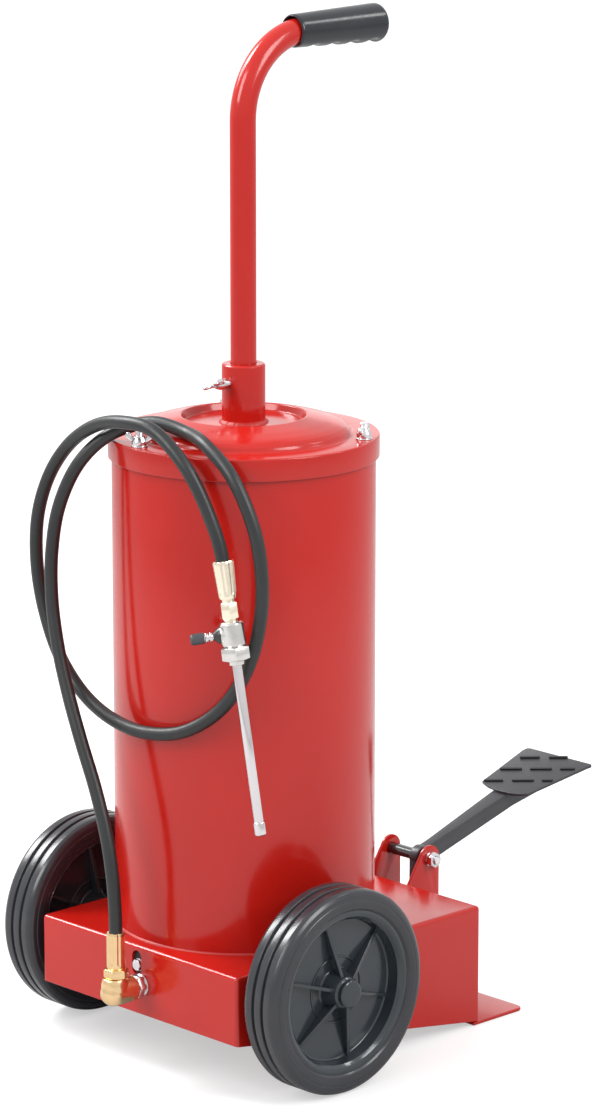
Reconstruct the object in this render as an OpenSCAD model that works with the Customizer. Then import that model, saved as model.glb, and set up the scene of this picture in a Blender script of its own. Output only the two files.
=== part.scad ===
// Wheeled foot-operated grease pump: drum on a folded sheet chassis, two wheels,
// bell-crank pedal driving a horizontal plunger pump, delivery hose with valve and nozzle.
// +Z up, front (hose outlet) towards -Y, pedal towards +Y, floor at z = 0.

/* [Chassis] */
// Width of the folded chassis box
body_w = 280; // [240:1:320]
// Front face of the box, measured from the drum axis
body_front = -142; // [-170:1:-135]
// Rear face of the box, measured from the drum axis
body_rear = 188; // [170:1:220]
// Height of the top of the box
body_top = 123; // [110:1:140]
// Height of the lower edge of the front wall
front_low = 55; // [40:1:75]
// Sheet thickness
sheet_t = 3; // [2:0.5:4]
// Rear end of the toe plate
toe_rear = 252; // [240:1:280]

/* [Drum] */
// Outside diameter of the drum
drum_d = 254; // [220:1:280]
// Wall of the drum
drum_t = 2; // [1:0.5:3]
// Height of the drum rim above the floor
drum_top = 600; // [560:1:640]
// Outside diameter of the lid skirt
lid_d = 261; // [258:0.5:290]
// Pitch radius of the lid studs
stud_r = 119.5; // [118:0.5:120.5]
// Height of the follower plate at rest
follower_z = 545; // [300:1:550]

/* [Wheels] */
// Wheel radius
wheel_r = 100; // [80:1:120]
// Wheel width
wheel_w = 43; // [34:1:50]
// Middle plane of the wheel
wheel_x = 173.5; // [165:0.5:185]
// Position of the axle along the chassis
axle_y = -48; // [-60:1:-30]
// Axle diameter
axle_d = 16; // [12:1:20]

/* [Handle] */
// Tube diameter
tube_d = 25; // [22:1:32]
// Height of the horizontal part of the handle
handle_z = 985.5; // [940:0.5:1040]
// Bend radius of the tube
bend_r = 80; // [60:1:100]
// Start of the grip
grip_y = 64; // [60:1:80]
// Length of the grip
grip_l = 114; // [100:1:130]
// Socket diameter
socket_d = 42; // [38:1:50]

/* [Pump] */
// Height of the pump axis
pump_z = 85; // [80:1:88]
// Sideways position of the pump axis
pump_x = 5; // [0:1:10]
// Plunger diameter
plunger_d = 16; // [12:1:20]
// Diameter of the pump barrel
barrel_d = 44; // [40:1:48]
// Diameter of the outlet pipe
pipe_d = 12; // [10:1:14]

/* [Pedal] */
// Pivot position along the chassis
pin_y = 229; // [225:0.5:240]
// Pivot height
pin_z = 138.7; // [130:0.1:150]
// Pivot bolt diameter
pin_d = 8; // [6:1:12]
// Pedal arm width
arm_w = 20; // [16:1:26]
// Pedal arm thickness
arm_t = 16; // [12:1:20]
// Slope of the pedal plate
plate_tilt = 11.3; // [0:0.1:25]

/* [Hose] */
// Hose diameter
hose_d = 13; // [11:0.5:16]
// Nozzle tube diameter
nozzle_d = 9.5; // [8:0.5:12]

/* [Hidden] */
$fn = 64;
gap = 0.3;
plate_y = 355;
plate_z = 184.7;
plate_l = 87.7;
plate_t = 3;
elbow_y = -174;
elbow_r = 11.5;
bulge_y = -177.4;
bulge_r = 13;
y_low = bulge_y - bulge_r;
y_high = plate_y + plate_l*cos(plate_tilt) + plate_t*sin(plate_tilt);
y0 = -(y_low + y_high)/2;
drum_r = drum_d/2;
drum_in = drum_r - drum_t;
lid_r = lid_d/2;
axle_z = wheel_r;
wo = wheel_x + wheel_w/2;
wi = wheel_x - wheel_w/2;
stud_a = [-98.5, 30, 145];
brim_z = 606.6;
pad_z = brim_z + 1.4;
slot_x = -1.2;
bolt_z = 103.2;
clamp_z = 657;
barrel_y0 = -20;
barrel_y1 = 120;
gland_y = 150;
head_y = 217.7;
nd = [37, 13, -260]/norm([37, 13, -260]);
n0 = [102, -123, 517];
nb = acos(nd[2]);
nc = atan2(nd[1], nd[0]);
knob_a = -35;
hose_path = [
  [5, -174, 145], [2, -174, 192], [-8.7, -172.4, 236.7], [-27, -170, 280], [-49.5, -167.4, 321.2],
  [-71.2, -163.8, 361.9], [-90.1, -159.9, 405], [-103.2, -155.8, 449.9], [-107.4, -151.5, 496.2], [-100.9, -146.5, 542.2],
  [-82.9, -136.5, 584.3], [-56.4, -119.3, 613.5], [-18.9, -100.7, 626.9], [24.4, -96, 622.6], [64.5, -107.8, 617.2],
  [104.7, -112.4, 593.7], [128.2, -107.5, 548.2], [131.3, -100.5, 499.8], [124, -97, 452.8], [110.1, -100.5, 408.7],
  [87.2, -111.7, 369.5], [52.1, -126.2, 343.7], [8.1, -135.7, 335.5], [-36.8, -137.7, 339.9], [-78.9, -137.5, 357],
  [-113.9, -137.1, 388], [-137.4, -135.7, 428.9], [-149.2, -134.8, 474], [-148, -134, 521], [-131.3, -133, 563.9],
  [-100.7, -133.3, 599.3], [-60.8, -135.9, 622.9], [-17.4, -140.2, 633.1], [26.1, -138.8, 630.2], [64.5, -135.4, 602.3],
  [87.1, -128.3, 562.6], [102, -123, 517]
];

// Sub-part to draw

// helpers
module shift() { translate([0, y0, 0]) children(); }
module along_x(x, y, z) { translate([x, y, z]) rotate([0, 90, 0]) children(); }
module along_y(x, y, z) { translate([x, y, z]) rotate([-90, 0, 0]) children(); }
module tube(l, ro, ri) { difference() { cylinder(h = l, r = ro); translate([0, 0, -1]) cylinder(h = l + 2, r = ri); } }
module hex(l, af, ri) { difference() { cylinder(h = l, d = af/cos(30), $fn = 6); translate([0, 0, -1]) cylinder(h = l + 2, r = ri); } }
module side(x, w) { translate([x, 0, 0]) rotate([90, 0, 90]) linear_extrude(w) children(); }
module nozzle_axis(s) { translate(n0 + nd*s) rotate([0, nb, nc]) children(); }

// sheet box with rounded folds, grown inwards by t
module box_solid(t, r) {
  intersection() {
    translate([0, 0, -20]) linear_extrude(body_top - t + 20) union() {
      square_at(body_w - 2*t, body_front + t + r, body_rear - t - r);
      square_at(body_w - 2*t - 2*r, body_front + t, body_rear - t);
      for (s = [-1, 1]) for (y = [body_front + t + r, body_rear - t - r]) translate([s*(body_w/2 - t - r), y]) circle(r);
    }
    translate([0, 300, 0]) rotate([90, 0, 0]) linear_extrude(600)
      union() {
        translate([-body_w/2 + t, -30]) square([body_w - 2*t, body_top - t - r + 30]);
        translate([-body_w/2 + t + r, body_top - t - r - 1]) square([body_w - 2*t - 2*r, r + 1]);
        for (s = [-1, 1]) translate([s*(body_w/2 - t - r), body_top - t - r]) circle(r);
      }
    side(-200, 400) union() {
      polygon([[body_front + t, body_top - t - r], [body_front + t, t > 0 ? -30 : front_low],
        [body_rear - t, t > 0 ? -30 : 3], [body_rear - t, body_top - t - r]]);
      translate([body_front + t + r, body_top - t - r - 1]) square([body_rear - body_front - 2*t - 2*r, r + 1]);
      translate([body_front + t + r, body_top - t - r]) circle(r);
      translate([body_rear - t - r, body_top - t - r]) circle(r);
    }
  }
}
module square_at(w, ya, yb) { translate([-w/2, ya]) square([w, yb - ya]); }

module chassis() color([0.8, 0.05, 0.05]) shift() difference() {
  box_solid(0, 4);
  box_solid(sheet_t, 1.5);
  for (x = [-200, 100]) along_x(x, axle_y, axle_z) cylinder(h = 100, d = axle_d + 0.1);
  translate([pump_x, 30, body_top - 10]) cylinder(h = 20, r = 22.2);
  along_y(pump_x, body_front - 5, pump_z) cylinder(h = 15, r = pipe_d/2 + 0.1);
  along_y(pump_x, body_rear - 10, pump_z) cylinder(h = 15, r = 20);
  side(slot_x - 6.5, 13) translate([body_front - 5, 100]) square([15, 11.5]);
  for (z = [100, 111.5]) along_y(slot_x, body_front - 5, z) cylinder(h = 15, r = 6.5);
}

module toe_plate() color([0.8, 0.05, 0.05]) shift() difference() {
  linear_extrude(3) union() {
    translate([-body_w/2, body_rear - 8]) square([body_w, toe_rear - body_rear]);
    translate([-body_w/2 + 8, toe_rear - 9]) square([body_w - 16, 9]);
    for (s = [-1, 1]) translate([s*(body_w/2 - 8), toe_rear - 8]) circle(8);
  }
}

module axle() color([0.6, 0.6, 0.62]) shift() along_x(-wo - 1, axle_y, axle_z) cylinder(h = 2*wo + 2, d = axle_d);

module axle_collars() color([0.6, 0.6, 0.62]) shift()
  for (s = [-1, 1]) along_x(s > 0 ? body_w/2 : -wi + gap, axle_y, axle_z) tube(wi - gap - body_w/2, 13, axle_d/2);

// wheel, axis along local z, middle plane at z = 0
module tyre() rotate_extrude($fn = 96) polygon([[80, -19], [82, -21], [89, -21.5], [95, -20.8], [98.5, -18.5], [wheel_r, -15],
  [wheel_r, -8], [97, -7.4], [97, -4.6], [wheel_r, -4], [wheel_r, 4], [97, 4.6], [97, 7.4], [wheel_r, 8], [wheel_r, 15],
  [98.5, 18.5], [95, 20.8], [89, 21.5], [82, 21], [80, 19]]);
module rim(b) {
  difference() {
    rotate_extrude($fn = 96) polygon([[10.5, -20], [13.6, -20], [15.4, -18], [21, -3], [70, -2.5], [71, -15], [74, -18], [80, -18.6],
      [80, 18.6], [74, 18], [71, 15], [70, 2.5], [21, 3], [15.4, 18], [13.6, 20], [10.5, 20]]);
  }
  for (k = [0:5]) rotate([0, 0, b + 60*k]) for (s = [0, 1]) mirror([0, 0, s])
    translate([0, 1.7, 0]) rotate([90, 0, 0]) linear_extrude(3.4) polygon([[16, 2], [71.5, 2], [71.5, 5], [14.6, 16.5]]);
}
module bush() tube(wheel_w - 3, 10.5, axle_d/2 + 0.05);
module wheel_at(s) along_x(s*wheel_x, axle_y, axle_z) children();
module tyre_left() color([0.08, 0.08, 0.08]) shift() wheel_at(-1) tyre();
module tyre_right() color([0.08, 0.08, 0.08]) shift() wheel_at(1) tyre();
module rim_left() color([0.1, 0.1, 0.1]) shift() wheel_at(-1) rim(5);
module rim_right() color([0.1, 0.1, 0.1]) shift() wheel_at(1) rim(12.5);
module bush_left() color([0.75, 0.75, 0.7]) shift() wheel_at(-1) translate([0, 0, -20]) bush();
module bush_right() color([0.75, 0.75, 0.7]) shift() wheel_at(1) translate([0, 0, -20]) bush();
module hub_caps() color([0.12, 0.12, 0.12]) shift() for (s = [0, 1]) mirror([s, 0, 0])
  along_x(wheel_x + 20 + gap, axle_y, axle_z) difference() {
    union() { cylinder(h = 4, r = 13.4); cylinder(h = 5.2, r = 12.4); }
    translate([0, 0, -1]) cylinder(h = wo + 1 - wheel_x - 20 - gap + 1, d = axle_d);
  }

module drum_shell() color([0.8, 0.05, 0.05]) shift() translate([0, 0, body_top]) tube(drum_top - body_top, drum_r, drum_in);
module drum_floor() color([0.8, 0.05, 0.05]) shift() difference() {
  translate([0, 0, body_top]) cylinder(h = 3, r = drum_in);
  translate([pump_x, 30, body_top - 1]) cylinder(h = 5, r = 22.2);
}
module base_weld() color([0.7, 0.05, 0.05]) shift() translate([0, 0, body_top])
  rotate_extrude($fn = 96) polygon([[drum_r, 0], [drum_r + 2, 0], [drum_r + 1.5, 1], [drum_r + 0.7, 1.7], [drum_r, 2]]);

module lid_lugs() color([0.7, 0.05, 0.05]) shift() for (a = stud_a) rotate([0, 0, a]) difference() {
  intersection() {
    translate([0, 10, 0]) rotate([90, 0, 0]) linear_extrude(20)
      polygon([[109, drum_top - 14], [130, drum_top - 14], [130, drum_top - 28], [119, drum_top - 28], [109, drum_top - 20]]);
    translate([0, 0, drum_top - 60]) cylinder(h = 60, r = drum_in);
  }
  translate([stud_r, 0, drum_top - 40]) cylinder(h = 60, r = 4, $fn = 32);
}
module lid_studs() color([0.75, 0.75, 0.78]) shift() for (a = stud_a) rotate([0, 0, a])
  translate([stud_r, 0, drum_top - 28]) { cylinder(h = 50, r = 4, $fn = 32); translate([0, 0, 50]) cylinder(h = 0.8, r1 = 4, r2 = 3.2, $fn = 32); }

// pressed lid: flat bottom, raised ring, shoulder, flat brim, skirt
module lid_profile() polygon([[0, 617], [56, 617], [57.5, 617.6], [60, 623.9], [61.5, 624.4], [80, 620.6], [92, 617.2], [97.5, 614.6], [101.3, 611.2],
  [103, 608.4], [104.6, 607], [106.5, brim_z], [lid_r - 1.2, brim_z], [lid_r, brim_z - 1.2], [lid_r, 585], [lid_r - 2, 585], [lid_r - 2, brim_z - 2],
  [105.6, brim_z - 2], [103, 605.3], [101.2, 607.4], [99.6, 610], [96.2, 613], [91.3, 615.2], [79.6, 618.6], [61.5, 622.3], [59.2, 615.4], [57, 615], [0, 615]]);
module lid() color([0.8, 0.05, 0.05]) shift() difference() {
  rotate_extrude($fn = 96) lid_profile();
  for (a = stud_a) rotate([0, 0, a]) translate([stud_r, 0, 590]) cylinder(h = 40, r = 4.6, $fn = 32);
}
module lid_gasket() color([0.1, 0.1, 0.1]) shift() translate([0, 0, drum_top]) tube(brim_z - 2.1 - drum_top, lid_r - 2.4, drum_in + 0.6);
module lid_pads() color([0.15, 0.15, 0.15]) shift() for (a = stud_a) rotate([0, 0, a]) translate([stud_r, 0, brim_z]) tube(1.4, 8, 4.2);

// wing nut, axis along local z, base at z = 0
module wings(r, h0, h1, t) for (s = [0, 180]) rotate([0, 0, s]) translate([0, t/2, 0]) rotate([90, 0, 0]) linear_extrude(t) union() {
  polygon([[0, h0], [6, h0], [r - 3.2, h1 - 6.4], [r - 3.2, h1 - 2], [r - 6, h1 - 1], [4, h1 - 4.5], [0, h1 - 4.5]]);
  translate([r - 3.2, h1 - 3.2]) circle(3.2, $fn = 32);
}
module wing_nut(r) difference() {
  union() { cylinder(h = 4, r = 7.2); translate([0, 0, 4]) cylinder(h = 4.5, r1 = 7.2, r2 = 5.6); wings(r, 1.5, 11.5, 3.6); }
  translate([0, 0, -1]) cylinder(h = 20, r = 4.05, $fn = 32);
}
module wing_nut_front() color([0.8, 0.8, 0.82]) shift() rotate([0, 0, stud_a[0]]) translate([stud_r, 0, pad_z + 0.1]) rotate([0, 0, 122.5]) wing_nut(14.5);
module wing_nut_right() color([0.8, 0.8, 0.82]) shift() rotate([0, 0, stud_a[1]]) translate([stud_r, 0, pad_z + 0.1]) rotate([0, 0, -92]) wing_nut(14.5);
module wing_nut_left() color([0.8, 0.8, 0.82]) shift() rotate([0, 0, stud_a[2]]) translate([stud_r, 0, pad_z + 0.1]) rotate([0, 0, -10]) wing_nut(14.5);

module handle_socket() color([0.8, 0.05, 0.05]) shift() difference() {
  translate([0, 0, 617]) union() { cylinder(h = 55.5, d = socket_d); translate([0, 0, 55.5]) cylinder(h = 1.5, d1 = socket_d, d2 = socket_d - 3); }
  translate([0, 0, 620]) cylinder(h = 80, d = tube_d + 0.2);
  along_y(0, -40, clamp_z) cylinder(h = 40, r = 3.05, $fn = 32);
}
module socket_weld() color([0.7, 0.05, 0.05]) shift() translate([0, 0, 617]) rotate_extrude()
  polygon([[socket_d/2, 0], [socket_d/2 + 3.2, 0], [socket_d/2 + 2.3, 1.5], [socket_d/2 + 1, 2.6], [socket_d/2, 3]]);
module clamp_boss() color([0.75, 0.75, 0.78]) shift() difference() {
  along_y(0, -27, clamp_z) cylinder(h = 20, r = 4.9);
  translate([0, 0, 600]) cylinder(h = 100, d = socket_d);
  along_y(0, -60, clamp_z) cylinder(h = 60, r = 3.05, $fn = 32);
}
module clamp_bolt() color([0.8, 0.8, 0.82]) shift() translate([0, -27 - gap, clamp_z]) rotate([90, 0, 0]) {
  translate([0, 0, -(27 + gap - tube_d/2 - 0.1)]) cylinder(h = 27 + gap - tube_d/2, r = 3, $fn = 32);
  cylinder(h = 4, r = 5.4);
  translate([0, 0, 4]) cylinder(h = 4.5, r1 = 5.4, r2 = 4);
  rotate([0, 0, 25]) wings(10.8, 2, 18, 2.8);
}
module handle_solid(d) {
  translate([0, 0, 621]) cylinder(h = handle_z - bend_r - 621, d = d);
  translate([0, bend_r, handle_z - bend_r]) rotate([90, 0, 90]) rotate([0, 0, 90]) rotate_extrude(angle = 90) translate([bend_r, 0]) circle(d = d);
  along_y(0, bend_r, handle_z) cylinder(h = grip_y + grip_l - 5 - bend_r, d = d);
}
module handle_tube() color([0.8, 0.05, 0.05]) shift() difference() {
  handle_solid(tube_d);
  handle_solid(tube_d - 4);
}
module grip() color([0.06, 0.06, 0.06]) shift() difference() {
  along_y(0, grip_y, handle_z) union() {
    cylinder(h = 1.5, r1 = 15, r2 = 16);
    translate([0, 0, 1.5]) cylinder(h = grip_l - 9.5, r1 = 16, r2 = 18.8);
    translate([0, 0, grip_l - 8]) cylinder(h = 4, r = 18.8);
    translate([0, 0, grip_l - 4]) cylinder(h = 2.6, r1 = 18.8, r2 = 17.6);
    translate([0, 0, grip_l - 1.4]) cylinder(h = 1.4, r1 = 17.6, r2 = 15);
  }
  along_y(0, grip_y - 11, handle_z) cylinder(h = grip_l + 6, d = tube_d);
  translate([0, bend_r, handle_z - bend_r]) rotate([90, 0, 90]) rotate([0, 0, 90]) rotate_extrude(angle = 90) translate([bend_r, 0]) circle(d = tube_d);
  for (k = [0:3]) along_x(-30, grip_y + 25 + 25*k, handle_z - 25.5) cylinder(h = 60, r = 11.5);
}

module follower_plate() color([0.6, 0.6, 0.62]) shift() translate([0, 0, follower_z]) difference() {
  union() {
    cylinder(h = 3, r = 118);
    translate([0, 0, 3]) cylinder(h = 12, r1 = 30, r2 = 26);
    translate([0, 0, 15]) tube(10, 7, 4);
  }
  translate([0, 0, -1]) cylinder(h = 12, r1 = 27, r2 = 23);
  for (a = [40, 160, 280]) rotate([0, 0, a]) translate([80, 0, -1]) cylinder(h = 5, r = 2.5);
}
module follower_seal() color([0.1, 0.1, 0.1]) shift() translate([0, 0, follower_z])
  rotate_extrude($fn = 96) polygon([[118, 0], [drum_in - 3, -6], [drum_in - 0.3, -6.5], [drum_in - 0.3, -3], [drum_in - 2.5, 1.5], [drum_in - 0.3, 6], [drum_in - 0.3, 9.5],
    [drum_in - 3, 9], [118, 3]]);

module pump_neck() color([0.45, 0.46, 0.48]) shift() translate([pump_x, 30, 0]) difference() {
  union() {
    translate([0, 0, pump_z + 12]) cylinder(h = body_top + 3 - pump_z - 12, r = 22);
    translate([0, 0, 108]) cylinder(h = body_top - sheet_t - 108, r = 36);
  }
  translate([0, -30 - 60, pump_z]) rotate([-90, 0, 0]) cylinder(h = 240, d = barrel_d);
  translate([0, 0, pump_z]) cylinder(h = 60, r = 14);
  for (a = [45:90:360]) rotate([0, 0, a]) translate([29, 0, 100]) cylinder(h = 40, r = 3, $fn = 24);
}
module neck_screws() color([0.75, 0.75, 0.78]) shift() translate([pump_x, 30, 0])
  for (a = [45:90:360]) rotate([0, 0, a]) translate([29, 0, 0]) {
    translate([0, 0, 103.5]) cylinder(h = 4.5, d = 10/cos(30), $fn = 6);
    translate([0, 0, 107]) cylinder(h = body_top - sheet_t - 107, r = 3, $fn = 24);
  }
module pump_barrel() color([0.45, 0.46, 0.48]) shift() difference() {
  along_y(pump_x, barrel_y0, pump_z) cylinder(h = barrel_y1 - barrel_y0, d = barrel_d);
  along_y(pump_x, 20, pump_z) cylinder(h = 110, r = plunger_d/2 + 0.05);
  along_y(pump_x, barrel_y1 - 14, pump_z) cylinder(h = 20, r = 13);
  along_y(pump_x, 10, pump_z) cylinder(h = 20, r = 3.5);
  along_y(pump_x, -12, pump_z) cylinder(h = 26, r = 6.5);
  along_y(pump_x, barrel_y0 - 5, pump_z) cylinder(h = 20, r = pipe_d/2);
  translate([pump_x, 40, pump_z]) cylinder(h = 40, r = 6);
}
module packing() color([0.85, 0.85, 0.8]) shift() along_y(pump_x, barrel_y1 - 14, pump_z) tube(14, 13, plunger_d/2 + 0.05);
module gland_nut() color([0.75, 0.75, 0.78]) shift() along_y(pump_x, barrel_y1, pump_z) union() {
  hex(18, 36, plunger_d/2 + 0.2);
  translate([0, 0, 18]) tube(gland_y - barrel_y1 - 18, 14, plunger_d/2 + 0.2);
}
module plunger() color([0.85, 0.85, 0.87]) shift() along_y(pump_x, 54, pump_z) cylinder(h = head_y - 6 - 54, d = plunger_d);
module plunger_head() color([0.3, 0.3, 0.32]) shift() along_y(pump_x, head_y - 6, pump_z) { cylinder(h = 5, r = 14); translate([0, 0, 5]) cylinder(h = 1, r1 = 14, r2 = 13); }

// coil swept by a function, axis along local z
function ring_pt(c, u, v, r, k, n) = c + u*r*cos(360*k/n) + v*r*sin(360*k/n);
module coil(rc, rw, l, turns, n, per) {
  steps = turns*per;
  pts = [for (i = [0:steps]) let (a = 360*i/per, c = [rc*cos(a), rc*sin(a), l*i/steps], u = [cos(a), sin(a), 0], p = l/turns/(2*PI*rc), v = [p*sin(a), -p*cos(a), 1]/sqrt(1 + p*p))
    for (k = [0:n - 1]) ring_pt(c, u, v, rw, k, n)];
  faces = concat([[for (k = [0:n - 1]) k]],
    [for (i = [0:steps - 1]) for (k = [0:n - 1]) [i*n + k, (i + 1)*n + k, (i + 1)*n + (k + 1)%n]],
    [for (i = [0:steps - 1]) for (k = [0:n - 1]) [i*n + k, (i + 1)*n + (k + 1)%n, i*n + (k + 1)%n]],
    [[for (k = [n - 1:-1:0]) steps*n + k]]);
  polyhedron(points = pts, faces = faces, convexity = 12);
}
module return_spring() color([0.55, 0.55, 0.58]) shift() along_y(pump_x, gland_y + 1.7, pump_z) coil(11.5, 1.5, head_y - 6 - gland_y - 3.4, 7, 8, 16);
module check_ball() color([0.85, 0.85, 0.87]) shift() translate([pump_x, 14 - sqrt(4.75*4.75 - 3.5*3.5) - 0.02, pump_z]) sphere(r = 4.75, $fn = 48);
module check_spring() color([0.55, 0.55, 0.58]) shift() along_y(pump_x, -11.4, pump_z) coil(4.2, 0.5, 16.6, 6, 6, 12);

module outlet_pipe() color([0.5, 0.5, 0.52]) shift() along_y(pump_x, body_front - 12, pump_z) tube(barrel_y0 + 8 - body_front + 12, pipe_d/2, 3);
module pipe_clamp() color([0.7, 0.05, 0.05]) shift() difference() {
  union() {
    side(pump_x - 14, 28) translate([body_front + sheet_t, 69]) square([12, 32]);
    side(pump_x - 14, 28) translate([body_front + sheet_t, 90]) square([5, 26]);
  }
  along_y(pump_x, body_front - 5, pump_z) cylinder(h = 40, r = pipe_d/2);
  along_y(slot_x, body_front - 5, bolt_z) cylinder(h = 40, r = 3, $fn = 24);
}
module slot_bolt() color([0.8, 0.8, 0.82]) shift() translate([slot_x, 0, bolt_z]) {
  along_y(0, body_front - 1.2, 0) cylinder(h = 3.4, d = 10/cos(30), $fn = 6);
  along_y(0, body_front + 2.2, 0) cylinder(h = 0.8, r = 6.2);
  along_y(0, body_front + 2.5, 0) cylinder(h = 8.5, r = 3, $fn = 24);
}
// lock nut on the elbow's neck, with its washer against the wall
module elbow_washer() color([0.8, 0.8, 0.82]) shift() {
  along_y(pump_x, body_front - 1.5, pump_z) tube(1.5, 10.9, pipe_d/2);
  along_y(pump_x, body_front - 10, pump_z) hex(8.5, 20, 8.5);
}
module elbow() color([0.85, 0.7, 0.35]) shift() difference() {
  union() {
    along_y(pump_x, bulge_y, pump_z) cylinder(h = -154.5 - bulge_y, r = bulge_r);
    along_y(pump_x, -156, pump_z) cylinder(h = 156 + body_front - 1.5, r = 8.5);
    translate([pump_x, bulge_y, pump_z]) sphere(r = bulge_r);
    translate([pump_x, bulge_y + 1.2, pump_z]) { cylinder(h = 8, r = bulge_r - 0.1); translate([0, 0, 8]) cylinder(h = 100 - pump_z - 8, r1 = bulge_r - 0.1, r2 = elbow_r); }
  }
  along_y(pump_x, body_front - 12, pump_z) cylinder(h = 30, r = pipe_d/2);
  along_y(pump_x, elbow_y, pump_z) cylinder(h = 25, r = 3.5);
  translate([pump_x, elbow_y, pump_z]) cylinder(h = 60, r = 3.5);
}
module elbow_nut() color([0.85, 0.7, 0.35]) shift() translate([pump_x, elbow_y, 100]) hex(9, 21, 3.5);
module lower_ferrule() color([0.85, 0.7, 0.35]) shift() translate([pump_x, elbow_y, 109]) difference() {
  cylinder(h = 36, r = 9);
  translate([0, 0, -1]) cylinder(h = 60, r = 3.5);
  for (a = [22.5:45:360]) rotate([0, 0, a]) translate([10.3, 0, 4]) cylinder(h = 40, r = 2.2, $fn = 24);
}

// hose: one tube swept along the route
pn = len(hose_path);
pa = concat([hose_path[1] - [0, 0, 94]], hose_path, [hose_path[pn - 2] + nd*92]);
function spl(i, t) = let (a = pa[i], b = pa[i + 1], c = pa[i + 2], d = pa[i + 3])
  (2*b + (c - a)*t + (2*a - 5*b + 4*c - d)*t*t + (3*b - a - 3*c + d)*t*t*t)/2;
function spt(i, t) = let (a = pa[i], b = pa[i + 1], c = pa[i + 2], d = pa[i + 3], v = (c - a) + 2*(2*a - 5*b + 4*c - d)*t + 3*(3*b - a - 3*c + d)*t*t) v/norm(v);
hs = concat([for (i = [0:pn - 2]) for (t = [0, 0.5]) [i, t]], [[pn - 2, 1]]);
hp = [for (q = hs) spl(q[0], q[1])];
ht = [for (q = hs) spt(q[0], q[1])];
function perp(v, t) = let (w = v - t*(v*t)) w/norm(w);
function frames(i, v) = i >= len(ht) ? [] : let (w = perp(v, ht[i])) concat([w], frames(i + 1, w));
hu = frames(0, [1, 0, 0]);
module hose() color([0.07, 0.07, 0.07]) shift() {
  n = 10;
  m = len(hp);
  pts = [for (i = [0:m - 1]) for (k = [0:n - 1]) ring_pt(hp[i], hu[i], cross(ht[i], hu[i]), hose_d/2, k, n)];
  faces = concat([[for (k = [0:n - 1]) k]],
    [for (i = [0:m - 2]) for (k = [0:n - 1]) [i*n + k, (i + 1)*n + k, (i + 1)*n + (k + 1)%n]],
    [for (i = [0:m - 2]) for (k = [0:n - 1]) [i*n + k, (i + 1)*n + (k + 1)%n, i*n + (k + 1)%n]],
    [[for (k = [n - 1:-1:0]) (m - 1)*n + k]]);
  polyhedron(points = pts, faces = faces, convexity = 12);
}

module upper_ferrule() color([0.85, 0.7, 0.35]) shift() nozzle_axis(0) difference() {
  cylinder(h = 36, r1 = 10.2, r2 = 8.4);
  translate([0, 0, -1]) cylinder(h = 60, r = 3.5);
  for (a = [22.5:45:360]) rotate([0, 0, a]) translate([11.6, 0, -0.5]) rotate([0, -2.86, 0]) cylinder(h = 32, r = 2.3, $fn = 24);
}
module adaptor() color([0.85, 0.7, 0.35]) shift() nozzle_axis(36) { tube(3, 6, 3.5); translate([0, 0, 3]) hex(16, 15, 3.5); translate([0, 0, 19]) tube(2.5, 6.5, 3.5); }
module valve_body() color([0.85, 0.86, 0.88]) shift() nozzle_axis(57.5) difference() {
  union() {
    cylinder(h = 2, r1 = 9.8, r2 = 11.5);
    translate([0, 0, 2]) cylinder(h = 20, r = 11.5);
    translate([0, 0, 22]) cylinder(h = 1.5, r1 = 11.5, r2 = 10.4);
    rotate([0, 0, knob_a]) translate([0, 0, 12]) rotate([0, 90, 0]) cylinder(h = 11.8, r = 8.2);
  }
  translate([0, 0, -1]) cylinder(h = 40, r = 3);
  rotate([0, 0, knob_a]) translate([6, 0, 12]) rotate([0, 90, 0]) cylinder(h = 20, r = 3.05, $fn = 32);
}
module valve_nut() color([0.8, 0.8, 0.82]) shift() nozzle_axis(81) { hex(13, 26, 3); translate([0, 0, 13]) tube(5, 7.5, 3); }
module valve_knob() color([0.12, 0.12, 0.12]) shift() nozzle_axis(69.5) rotate([0, 0, knob_a]) rotate([0, 90, 0]) {
  translate([0, 0, 8]) cylinder(h = 10, r = 3, $fn = 32);
  translate([0, 0, 12.1]) cylinder(h = 6.5, r1 = 8.2, r2 = 3.2);
  translate([0, 0, 18.5]) cylinder(h = 8.8, r = 3.2);
  for (z = [19.4, 23.6]) translate([0, 0, z]) cylinder(h = 2.6, r = 5);
  translate([0, 0, 27.2]) cylinder(h = 11.4, r = 5.4);
  translate([0, 0, 38.6]) cylinder(h = 1.4, r1 = 5.4, r2 = 4.2);
}
module nozzle_tube() color([0.85, 0.86, 0.88]) shift() nozzle_axis(99) tube(151, nozzle_d/2, 3);
module end_coupler() color([0.85, 0.86, 0.88]) shift() nozzle_axis(250) difference() {
  union() { cylinder(h = 1, r1 = 4.8, r2 = 5.6); translate([0, 0, 1]) cylinder(h = 11, r = 5.6); translate([0, 0, 12]) cylinder(h = 1, r1 = 5.6, r2 = 4.9); }
  translate([0, 0, -1]) cylinder(h = 30, r = 3.5);
}

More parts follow.
